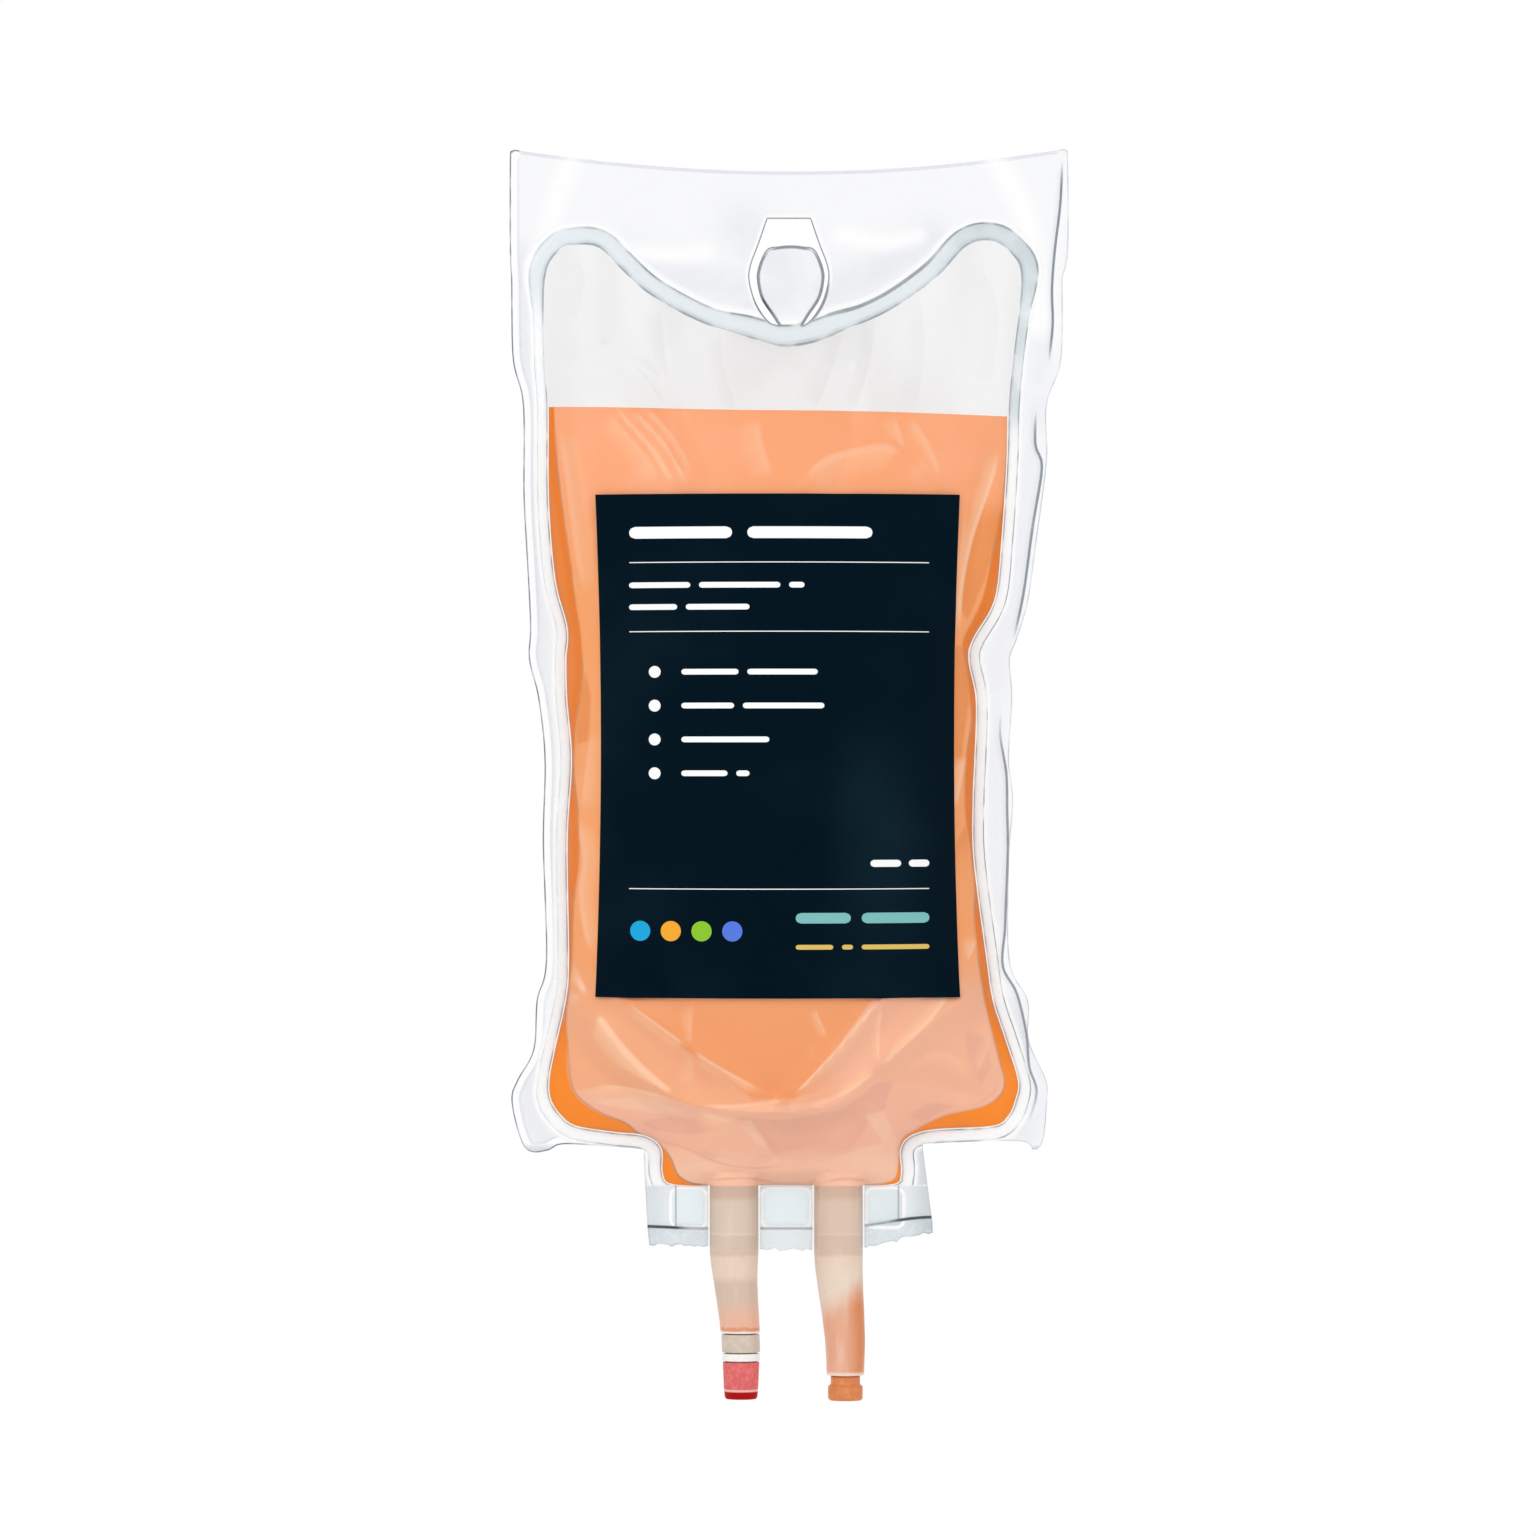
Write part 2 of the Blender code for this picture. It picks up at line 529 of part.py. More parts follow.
def membrane(flat, triangles, load):
    # height of a stretched sheet under a load, held at the rim of the given triangles
    used, local = np.unique(triangles, return_inverse=True)
    local = local.reshape(triangles.shape)
    spots = flat[used]
    weights = {}
    lumped = np.zeros(len(used))
    for tri in local:
        a, b, c = spots[tri]
        area = abs((b - a)[0] * (c - a)[1] - (b - a)[1] * (c - a)[0])
        lumped[tri] += area / 6
        for near, far, other in ((0, 1, 2), (1, 2, 0), (2, 0, 1)):
            to_near, to_far = spots[tri[near]] - spots[tri[other]], spots[tri[far]] - spots[tri[other]]
            key = tuple(sorted((tri[near], tri[far])))
            entry = weights.setdefault(key, [0.0, 0])
            entry[0] += 0.5 * (to_near @ to_far) / area
            entry[1] += 1
    stiffness = np.zeros((len(used), len(used)))
    rim = np.zeros(len(used), dtype=bool)
    for (first, second), (weight, count) in weights.items():
        stiffness[first, second] -= weight
        stiffness[second, first] -= weight
        stiffness[first, first] += weight
        stiffness[second, second] += weight
        if count == 1:
            rim[[first, second]] = True
    free = ~rim
    height = np.zeros(len(used))
    push = lumped * load(spots)
    height[free] = np.linalg.solve(stiffness[np.ix_(free, free)], push[free])
    lifted = np.zeros(len(flat))
    lifted[used] = height
    return lifted


def bag_load(spots):
    # gas pressure everywhere, and the fluid's weight, which grows below its level
    depth = np.maximum(FLUID_LEVEL - spots[:, 1], 0.0) / (FLUID_LEVEL - NECK_FLOOR)
    return HEADSPACE_PRESSURE + np.sqrt(depth)


def fold_height(points, folds):
    total = np.zeros(len(points))
    for crest, half_width, height in folds:
        away = distance(points, smooth_curve(crest)[::6])
        total += height * np.maximum(1.0 - away / half_width, 0.0) ** FOLD_SHARPNESS
    return total


def ripple(points, chamber):
    # the free flange waves in and out, more so further from the weld
    away = np.where(inside(points, chamber), 0.0, distance(points, chamber[::8], True))
    reach = np.clip((away - BEAD_WIDTH) / RIPPLE_REACH, 0.0, 1.0)
    side = np.where(points[:, 0] > 0, 1.0, -1.0)
    turns = 2 * pi * points[:, 1] / RIPPLE_LENGTH
    sides = np.sin(turns + side) + 0.5 * np.sin(1.8 * turns + 2.0 * side)
    top = np.sin(2 * pi * points[:, 0] / TOP_WAVE_LENGTH + 0.6)
    near_hook = smoothstep(EYELET_WIDTH / 3, EYELET_WIDTH * 1.3, np.abs(points[:, 0]))
    upper = smoothstep(-EYELET_HEIGHT * 1.3, 0.0, points[:, 1])
    flat_neck = smoothstep(SHOULDER_LEVEL - SHOULDER_STRIP, SHOULDER_LEVEL + SHOULDER_STRIP, points[:, 1])
    return RIPPLE_HEIGHT * reach * flat_neck * ((1.0 - upper) * sides + upper * top * near_hook)


class Sheet:
    # one film sheet: its plane mesh, how far it stands out from the seam, and the ripple both share
    def __init__(self, folds, extra_loops):
        self.chamber = chamber_loop()
        weld = thinned(self.chamber, LOOP_STEP, LOOP_TURN, closed=True)
        crest = inset(weld, -BEAD_WIDTH / 2)
        feet, tops = pad_loops()
        loops = [weld, crest, inset(weld, -BEAD_WIDTH), fluid_loop(self.chamber)] + feet + tops + extra_loops
        folded = [smooth_curve(points) for points, _, _ in folds]
        self.flat, self.triangles = triangulate(film_loop(), [eyelet_loop()], loops, folded, hump_lines())
        bulge = membrane(self.flat, self.part_of(weld), bag_load)
        bulge = BULGE * (bulge / bulge.max()) ** FULLNESS
        bulge += fold_height(self.flat, folds) * np.clip(bulge / FOLD_FADE, 0.0, 1.0)
        bead = BEAD_HEIGHT * np.maximum(1.0 - 2.2 * distance(self.flat, crest, True) / BEAD_WIDTH, 0.0)
        on_pad = np.logical_or.reduce([distance(self.flat, top, True) < CURVE_STEP / 4 for top in tops])
        raised = np.where(on_pad, BEAD_HEIGHT, 0.0)
        self.stand = np.maximum.reduce([bulge, bead, raised, hump_height(self.flat)])
        self.shared = ripple(self.flat, self.chamber)

    def part_of(self, loop):
        return self.triangles[inside(self.flat[self.triangles].mean(axis=1), loop)]


def rim_edges(triangles):
    # edges with a triangle on one side only, in that triangle's direction
    edges = {}
    for tri in triangles:
        for start, end in zip(tri, np.roll(tri, -1)):
            edges[(int(start), int(end))] = True
    return [edge for edge in edges if (edge[1], edge[0]) not in edges]


def layer(flat, triangles, near, far):
    # a closed solid between two surfaces that share one plane mesh
    used, local = np.unique(triangles, return_inverse=True)
    local = local.reshape(triangles.shape)
    count = len(used)
    verts = [(x, y, z) for (x, z), y in zip(flat[used], near[used])]
    verts += [(x, y, z) for (x, z), y in zip(flat[used], far[used])]
    faces = [tuple(tri) for tri in local]
    faces += [tuple(tri[::-1] + count) for tri in local]
    faces += [(end, start, start + count, end + count) for start, end in rim_edges(local)]
    return verts, faces


def solid_mesh(name, verts, faces, smooth_angle=radians(50.0)):
    mesh = bpy.data.meshes.new(name)
    mesh.from_pydata(verts, [], [tuple(int(corner) for corner in face) for face in faces])
    work = bmesh.new()
    work.from_mesh(mesh)
    bmesh.ops.recalc_face_normals(work, faces=work.faces)
    bmesh.ops.triangulate(work, faces=work.faces)
    work.to_mesh(mesh)
    work.free()
    mesh.shade_smooth()
    mesh.set_sharp_from_angle(angle=smooth_angle)
    return mesh


def film_sheet(name, sheet, side, material):
    inner = sheet.shared + side * (HALF_SEAM + sheet.stand)
    outer = inner + side * FILM_THICKNESS
    verts, faces = layer(sheet.flat, sheet.triangles, outer, inner)
    return add_object(name, solid_mesh(name, verts, faces), material)


def label_sheet(sheet, loop, material):
    inner = sheet.shared - (HALF_SEAM + sheet.stand + FILM_THICKNESS + FIT_GAP)
    verts, faces = layer(sheet.flat, sheet.part_of(loop), inner - LABEL_THICKNESS, inner)
    return add_object("label", solid_mesh("label", verts, faces), material)


def solution_body(front, back, material):
    loop = fluid_loop(front.chamber)
    halves = []
    for sheet, side in ((front, -1), (back, 1)):
        half = np.maximum(HALF_SEAM + sheet.stand - FIT_GAP, HALF_SEAM)
        triangles = sheet.part_of(loop)
        used, local = np.unique(triangles, return_inverse=True)
        local = local.reshape(triangles.shape)
        spots = [(x, side * y, z) for (x, z), y in zip(sheet.flat[used], half[used])]
        halves.append((spots, local))
    (near, near_faces), (far, far_faces) = halves
    count = len(near)
    plan = np.array(far)[:, [0, 2]]
    faces = [tuple(tri) for tri in near_faces] + [tuple(tri[::-1] + count) for tri in far_faces]
    for start, end in rim_edges(near_faces):
        low, high = (int(np.argmin(np.linalg.norm(plan - np.array(near[spot])[[0, 2]], axis=1)))
                     for spot in (start, end))
        faces.append((end, start, low + count, high + count))
    body = add_object("solution", solid_mesh("solution", near + far, faces), material)
    for name, profile, centre in fluid_legs():
        leg = add_object(name, turned_mesh(name, profile, centre), material)
        leg.hide_render = True
        leg.display_type = "WIRE"
        union = body.modifiers.new(name, "BOOLEAN")
        union.operation = "UNION"
        union.solver = "EXACT"
        union.object = leg
    return body


# Turned pieces of the ports
def lean(centre, heights):
    # the tubes run straight through the weld and swing a little to one side below it
    drop = smoothstep(0.0, LEAN_LENGTH, STRAIGHT_END - heights)
    return centre + PORT_LEAN * drop


def turned_mesh(name, profile, centre, closed=False):
    # turn (radius, height) points round the port's axis; a closed profile makes a ring
    rings = []
    for radius, height in profile:
        axis = float(lean(centre, np.array(height)))
        if radius == 0.0:
            rings.append([(axis, 0.0, height)])
        else:
            rings.append([(axis + radius * cos(2 * pi * step / PORT_SIDES),
                           radius * sin(2 * pi * step / PORT_SIDES), height) for step in range(PORT_SIDES)])
    verts, firsts = [], []
    for ring in rings:
        firsts.append(len(verts))
        verts.extend(ring)
    faces = []
    pairs = len(rings) if closed else len(rings) - 1
    for index in range(pairs):
        after = (index + 1) % len(rings)
        upper, lower = firsts[index], firsts[after]
        for step in range(PORT_SIDES):
            beside = (step + 1) % PORT_SIDES
            if len(rings[index]) == 1:
                faces.append((upper, lower + step, lower + beside))
            elif len(rings[after]) == 1:
                faces.append((upper + beside, upper + step, lower))
            else:
                faces.append((upper + beside, upper + step, lower + step, lower + beside))
    return solid_mesh(name, verts, faces, radians(35.0))


def injection_tube(material):
    middle = (TUBE_RADIUS + INJECTION_TUBE_END_RADIUS) / 2
    profile = ((TUBE_RADIUS - TUBE_WALL, TUBE_TOP), (TUBE_RADIUS, TUBE_TOP), (TUBE_RADIUS, STRAIGHT_END),
               (middle, STRAIGHT_END - INJECTION_TAPER), (INJECTION_TUBE_END_RADIUS, INJECTION_END),
               (INJECTION_BORE, INJECTION_END), (INJECTION_BORE, SPIGOT_TOP + BORE_STEP),
               (TUBE_RADIUS - TUBE_WALL, STRAIGHT_END))
    mesh = turned_mesh("injection_port_tube", profile, PORT_CENTRES[0], closed=True)
    return add_object("injection_port_tube", mesh, material)


def site_body(material):
    profile = ((SITE_BORE, SPIGOT_TOP), (SPIGOT_RADIUS, SPIGOT_TOP), (SPIGOT_RADIUS, SITE_TOP),
               (SITE_COLLAR_RADIUS, SITE_TOP), (SITE_COLLAR_RADIUS, SHANK_TOP),
               (SITE_SHANK_RADIUS, SHANK_TOP), (SITE_SHANK_RADIUS, SHANK_END), (SITE_BORE, SHANK_END))
    mesh = turned_mesh("injection_site_body", profile, PORT_CENTRES[0], closed=True)
    return add_object("injection_site_body", mesh, material)


def site_ring(material):
    hole = SITE_SHANK_RADIUS + FIT_GAP
    profile = ((hole, RING_TOP), (RING_RADIUS, RING_TOP), (RING_RADIUS, RING_TOP - RING_LENGTH),
               (hole, RING_TOP - RING_LENGTH))
    mesh = turned_mesh("injection_site_ring", profile, PORT_CENTRES[0], closed=True)
    return add_object("injection_site_ring", mesh, material)


def site_stopper(material):
    hole = SITE_SHANK_RADIUS + FIT_GAP
    profile = ((0.0, SHANK_END - FIT_GAP), (hole, SHANK_END - FIT_GAP), (hole, STOPPER_TOP),
               (STOPPER_TOP_RADIUS, STOPPER_TOP), (STOPPER_END_RADIUS, STOPPER_END + EDGE_ROUND),
               (STOPPER_END_RADIUS - EDGE_ROUND, STOPPER_END), (0.0, STOPPER_END))
    mesh = turned_mesh("injection_site_stopper", profile[::-1], PORT_CENTRES[0])
    return add_object("injection_site_stopper", mesh, material)


def outlet_tube(material):
    profile = ((TUBE_RADIUS - TUBE_WALL, TUBE_TOP), (TUBE_RADIUS, TUBE_TOP), (TUBE_RADIUS, STRAIGHT_END),
               (OUTLET_WAIST_RADIUS, STRAIGHT_END - OUTLET_TAPER), (OUTLET_TUBE_END_RADIUS, OUTLET_END),
               (SOCKET_RADIUS, OUTLET_END), (SOCKET_RADIUS, MEMBRANE_SEAT), (POCKET_RADIUS, MEMBRANE_SEAT),
               (POCKET_RADIUS, MEMBRANE_SEAT + MEMBRANE_POCKET), (TUBE_RADIUS - TUBE_WALL, STRAIGHT_END))
    mesh = turned_mesh("outlet_port_tube", profile, PORT_CENTRES[1], closed=True)
    return add_object("outlet_port_tube", mesh, material)


def outlet_membrane(material):
    radius = POCKET_RADIUS - FIT_GAP
    low = MEMBRANE_SEAT + FIT_GAP
    profile = ((0.0, MEMBRANE_TOP), (radius, MEMBRANE_TOP), (radius, low), (0.0, low))
    mesh = turned_mesh("outlet_port_membrane", profile, PORT_CENTRES[1])
    return add_object("outlet_port_membrane", mesh, material)


def outlet_cap(material):
    plug = SOCKET_RADIUS - FIT_GAP
    head = CAP_HEAD_RADIUS
    profile = ((0.0, CAP_TOP), (plug - EDGE_ROUND, CAP_TOP), (plug, CAP_TOP - EDGE_ROUND),
               (plug, CAP_NECK_TOP), (CAP_NECK_RADIUS, CAP_NECK_TOP), (CAP_NECK_RADIUS, CAP_NECK_END),
               (head, CAP_NECK_END - EDGE_ROUND), (head, CAP_END + EDGE_ROUND),
               (head - EDGE_ROUND, CAP_END), (0.0, CAP_END))
    mesh = turned_mesh("outlet_port_cap", profile, PORT_CENTRES[1])
    return add_object("outlet_port_cap", mesh, material)


def fluid_legs():
    # fluid stands in both ports, down to the rubber stopper and down to the membrane
    root = TUBE_TOP + LEG_ROOT
    wide = TUBE_RADIUS - TUBE_WALL - FIT_GAP
    in_site = SITE_BORE - FIT_GAP
    in_tube = INJECTION_BORE - FIT_GAP
    in_pocket = POCKET_RADIUS - FIT_GAP
    above_spigot = SPIGOT_TOP + FIT_GAP
    above_membrane = MEMBRANE_TOP + FIT_GAP
    injection = ((0.0, root), (wide, root), (wide, STRAIGHT_END + FIT_GAP),
                 (in_tube, above_spigot + BORE_STEP), (in_tube, above_spigot), (in_site, above_spigot),
                 (in_site, SHANK_END), (0.0, SHANK_END))
    outlet = ((0.0, root), (wide, root), (wide, STRAIGHT_END + FIT_GAP),
              (in_pocket, MEMBRANE_SEAT + MEMBRANE_POCKET + FIT_GAP), (in_pocket, above_membrane),
              (0.0, above_membrane))
    return (("injection_leg", injection, PORT_CENTRES[0]), ("outlet_leg", outlet, PORT_CENTRES[1]))


def build():
    clear_scene()
    film = principled("film", (0.90, 0.92, 0.94), 0.12, alpha=0.35, transmission=0.6)
    back_film = principled("back_film", (0.86, 0.88, 0.91), 0.12, alpha=0.35, transmission=0.6)
    tube = principled("port_tube", (0.80, 0.68, 0.55), 0.35)
    label_loop_points = label_loop()
    front = Sheet(FRONT_FOLDS, [label_loop_points])
    back = Sheet(BACK_FOLDS, [])
    film_sheet("front_film", front, -1, film)
    film_sheet("back_film", back, 1, back_film)
    label_sheet(front, label_loop_points, principled("label", (0.004, 0.010, 0.016), 0.45))
    solution_body(front, back, principled("solution", (0.95, 0.42, 0.20), 0.08))
    injection_tube(tube)
    site_body(principled("site_body", (0.72, 0.60, 0.48), 0.30))
    site_ring(principled("site_ring", (0.88, 0.87, 0.85), 0.40))
    site_stopper(principled("stopper_rubber", (0.48, 0.01, 0.015), 0.45))
    outlet_tube(tube)
    outlet_membrane(principled("membrane", (0.85, 0.78, 0.68), 0.35))
    outlet_cap(principled("cap", (0.75, 0.30, 0.12), 0.40))


build()
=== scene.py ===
from math import cos, pi, radians, sin, tan

import bpy
import numpy as np
from mathutils.geometry import delaunay_2d_cdt
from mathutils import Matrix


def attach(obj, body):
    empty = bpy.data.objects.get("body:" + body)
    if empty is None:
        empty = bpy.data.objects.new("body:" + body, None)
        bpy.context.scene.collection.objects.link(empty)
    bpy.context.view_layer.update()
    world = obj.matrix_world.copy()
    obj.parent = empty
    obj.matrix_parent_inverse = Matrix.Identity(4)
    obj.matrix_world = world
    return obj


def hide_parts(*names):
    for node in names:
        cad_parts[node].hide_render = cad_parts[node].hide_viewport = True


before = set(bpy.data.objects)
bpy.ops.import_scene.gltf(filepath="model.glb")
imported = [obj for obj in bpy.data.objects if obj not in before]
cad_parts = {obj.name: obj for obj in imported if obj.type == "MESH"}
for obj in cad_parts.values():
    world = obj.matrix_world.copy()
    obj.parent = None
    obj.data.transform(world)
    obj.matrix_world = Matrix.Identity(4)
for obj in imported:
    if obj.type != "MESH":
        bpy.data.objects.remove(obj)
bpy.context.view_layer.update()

print("stage: frame loaded")


# Shader maths: a Wire is a node's output that takes part in plain arithmetic
def bothWays(operation):
    # an operator and its reflected form
    return (lambda self, other: self.maths(operation, self, other),
            lambda self, other: self.maths(operation, other, self))


class Wire:
    __add__, __radd__ = bothWays("ADD")
    __sub__, __rsub__ = bothWays("SUBTRACT")
    __mul__, __rmul__ = bothWays("MULTIPLY")
    __truediv__, __rtruediv__ = bothWays("DIVIDE")
    __pow__, __rpow__ = bothWays("POWER")

    def __init__(self, tree, socket):
        self.tree, self.socket = tree, socket

    def maths(self, operation, *values):
        return self.tree.node("ShaderNodeMath", {"operation": operation}, *values)

    def least(self, other):
        return self.maths("MINIMUM", self, other)

    def most(self, other):
        return self.maths("MAXIMUM", self, other)

    def size(self):
        return self.maths("ABSOLUTE", self)

    def clipped(self):
        return self.most(0.0).least(1.0)

    def between(self, low, high):
        # 0 below low, 1 above high, smooth from one to the other; low may be the greater
        return self.tree.node("ShaderNodeMapRange", {"interpolation_type": "SMOOTHSTEP"}, self, low, high)

    def near(self, middle, far, close):
        # 1 within close of the middle, 0 past far
        return (self - middle).size().between(far, close)


class NodeTree:
    def __init__(self, tree):
        self.nodes, self.links = tree.nodes, tree.links

    def node(self, kind, settings=None, *values, output=0, **named):
        made = self.nodes.new(kind)
        for setting, value in (settings or {}).items():
            setattr(made, setting, value)
        pairs = [(made.inputs[index], value) for index, value in enumerate(values)]
        pairs += [(made.inputs[socket.replace("_", " ")], value) for socket, value in named.items()]
        for socket, value in pairs:
            self.feed(socket, value)
        return Wire(self, made.outputs[output])

    def feed(self, socket, value):
        if isinstance(value, Wire):
            self.links.new(value.socket, socket)
        elif value is not None:
            socket.default_value = value


class Finish(NodeTree):
    def __init__(self, name, **fixed):
        self.material = bpy.data.materials.new(name)
        self.material.use_nodes = True
        super().__init__(self.material.node_tree)
        self.shader = self.nodes["Principled BSDF"]
        self.to(**fixed)

    def field(self, name):
        return self.node("ShaderNodeAttribute", {"attribute_name": name}, output="Fac")

    def fields(self, *names):
        return [self.field(name) for name in names]

    def axes(self):
        split = self.node("ShaderNodeSeparateXYZ", None, self.node("ShaderNodeTexCoord", output="Object"))
        return [Wire(self, socket) for socket in split.socket.node.outputs]

    def grain(self, size, detail, stretch=(1.0, 1.0, 1.0)):
        place = self.node("ShaderNodeMapping", {"vector_type": "POINT"},
                          Vector=self.node("ShaderNodeTexCoord", output="Object"),
                          Scale=tuple(part / size for part in stretch))
        return self.node("ShaderNodeTexNoise", {"noise_dimensions": "3D"}, Vector=place, Scale=1.0,
                         Detail=detail, Roughness=0.55)

    def blend(self, factor, first, second):
        # a Mix node keeps its colours in the seventh and eighth sockets
        colours = [value if isinstance(value, Wire) else (*value, 1.0) for value in (first, second)]
        return self.node("ShaderNodeMix", {"data_type": "RGBA"}, factor, *[None] * 5, *colours, output=2)

    def coats(self, colour, look, layers):
        # lay the look's colours over each other, each where its mask shows
        for mask, key in layers:
            colour = self.blend(mask, colour, look[key])
        return colour

    def relief(self, height, strength, distance):
        return self.node("ShaderNodeBump", None, Strength=strength, Distance=distance, Height=height)

    def to(self, **linked):
        for socket, value in linked.items():
            self.feed(self.shader.inputs[socket.replace("_", " ")], value)
        return self.material


# Curves in the sheet's plane, as arrays of (x, z) in metres
def smoothCurve(points, closed=False, step=0.0003):
    knots = np.array(points, dtype=float)
    count = len(knots)
    samples = []
    for index in range(count if closed else count - 1):
        if closed:
            quad = [knots[(index + shift) % count] for shift in (-1, 0, 1, 2)]
        else:
            quad = [knots[min(max(index + shift, 0), count - 1)] for shift in (-1, 0, 1, 2)]
        before, start, end, after = quad
        steps = max(2, int(np.linalg.norm(end - start) / step))
        t = np.linspace(0.0, 1.0, steps, endpoint=False)[:, None]
        samples.append(0.5 * (2 * start + (end - before) * t
                              + (2 * before - 5 * start + 4 * end - after) * t ** 2
                              + (3 * start - before - 3 * end + after) * t ** 3))
    if not closed:
        samples.append(knots[-1:])
    return np.vstack(samples)


def millimetres(points):
    return [(x * 0.001, z * 0.001) for x, z in points]


def thinned(curve, step, closed=False):
    # keep a sample once the curve has run one step since the last
    length = np.linalg.norm(np.diff(curve, axis=0), axis=1)
    kept, run = [0], 0.0
    for index in range(1, len(curve) - 1):
        run += length[index - 1]
        if run >= step:
            kept.append(index)
            run = 0.0
    if not closed:
        kept.append(len(curve) - 1)
    elif np.linalg.norm(curve[kept[-1]] - curve[0]) < step / 2:
        kept.pop()
    return curve[kept]


def inset(loop, depth):
    along = np.roll(loop, -1, axis=0) - np.roll(loop, 1, axis=0)
    along /= np.linalg.norm(along, axis=1)[:, None]
    return loop + np.column_stack((-along[:, 1] * depth, along[:, 0] * depth))


def insideOf(points, loop):
    x, z = points[:, 0], points[:, 1]
    odd = np.zeros(len(points), dtype=bool)
    for (ax, az), (bx, bz) in zip(loop, np.roll(loop, -1, axis=0)):
        if az != bz:
            spans = (az > z) != (bz > z)
            odd ^= spans & (x < ax + (z - az) * (bx - ax) / (bz - az))
    return odd


def distanceTo(points, line, closed=False):
    starts = line if closed else line[:-1]
    ends = np.roll(line, -1, axis=0) if closed else line[1:]
    best = np.full(len(points), 1e9)
    for start, end in zip(starts, ends):
        run = end - start
        away = points - start
        share = np.clip(away @ run / max(run @ run, 1e-18), 0.0, 1.0)
        away = away - share[:, None] * run
        best = np.minimum(best, away[:, 0] ** 2 + away[:, 1] ** 2)
    return np.sqrt(best)


def runAlong(points, loop):
    # how far round the loop each point's nearest place on it is
    lengths = np.append(0.0, np.cumsum(np.linalg.norm(np.diff(loop, axis=0), axis=1)))
    best = np.full(len(points), 1e9)
    run = np.zeros(len(points))
    for spot, length in zip(loop, lengths):
        away = ((points - spot) ** 2).sum(axis=1)
        nearer = away < best
        best[nearer] = away[nearer]
        run[nearer] = length
    return run


def smoothStep(low, high, value):
    share = np.clip((value - low) / (high - low), 0.0, 1.0)
    return share * share * (3.0 - 2.0 * share)


def sidedDistance(points, line):
    # distance to an open line, plus on its left, and how far along it the nearest place lies
    best = np.full(len(points), 1e9)
    sign, run = np.ones(len(points)), np.zeros(len(points))
    length = 0.0
    for start, end in zip(line[:-1], line[1:]):
        way = end - start
        step = np.hypot(*way)
        away = points - start
        share = np.clip(away @ way / (step * step), 0.0, 1.0)
        off = away - share[:, None] * way
        far = np.hypot(off[:, 0], off[:, 1])
        closer = far < best
        best[closer] = far[closer]
        sign[closer] = np.where(way[0] * away[closer, 1] < way[1] * away[closer, 0], -1.0, 1.0)
        run[closer] = length + share[closer] * step
        length += step
    return best * sign, run / length


# How marks are laid on the plan: sampling in metres, how far a line is felt and where it fades
laying = {
    "lineStep": 0.0010, "creaseStep": 0.0012, "leastReach": 0.0024, "reachPerHalf": 0.006, "endShare": 0.16,
    "apart": (0.0009, 0.0020), "farSide": 9.0, "outOfZone": -12.0,
}


def lineFields(points, lines):
    # the nearest line's signed distance in half widths of the line, and how strongly the line shows there
    near, second = np.full(len(points), 1e9), np.full(len(points), 1e9)
    far, ends = laying["farSide"], laying["endShare"]
    side, show = np.full(len(points), far), np.zeros(len(points))
    for crest, half, strength in lines:
        signed, run = sidedDistance(points, thinned(smoothCurve(millimetres(crest)), laying["lineStep"]))
        away = np.abs(signed)
        reach = max(laying["leastReach"], laying["reachPerHalf"] * half)
        felt = strength * smoothStep(0.0, ends, run) * smoothStep(1.0, 1.0 - ends, run)
        felt = felt * (1.0 - smoothStep(0.5 * reach, reach, away))
        closer = away < near
        second = np.where(closer, near, np.minimum(second, away))
        near[closer] = away[closer]
        side[closer] = signed[closer] / (0.001 * half)
        show[closer] = felt[closer]
    # halfway between two lines the signed distance jumps, so nothing shows within a cell of there
    return np.clip(side, -far, far), show * smoothStep(*laying["apart"], second - near)


def creaseDistance(points, line):
    return distanceTo(points, thinned(smoothCurve(millimetres(line)), laying["creaseStep"]))


def strongest(points, lines):
    # each line's strength on its crest, fading to nothing about one half width away
    total = np.zeros(len(points))
    for line, half, strength in lines:
        total = np.maximum(total, strength * np.exp(-(creaseDistance(points, line) / (half * 0.001)) ** 2))
    return total


def zoneField(points, zones):
    # how deep inside the nearest of the zones each point lies, in millimetres, minus outside
    deep = np.full(len(points), laying["outOfZone"])
    for corners in zones:
        loop = np.array(millimetres(corners))
        signed = distanceTo(points, loop, True) * np.where(insideOf(points, loop), 1000.0, -1000.0)
        deep = np.maximum(deep, signed)
    return deep


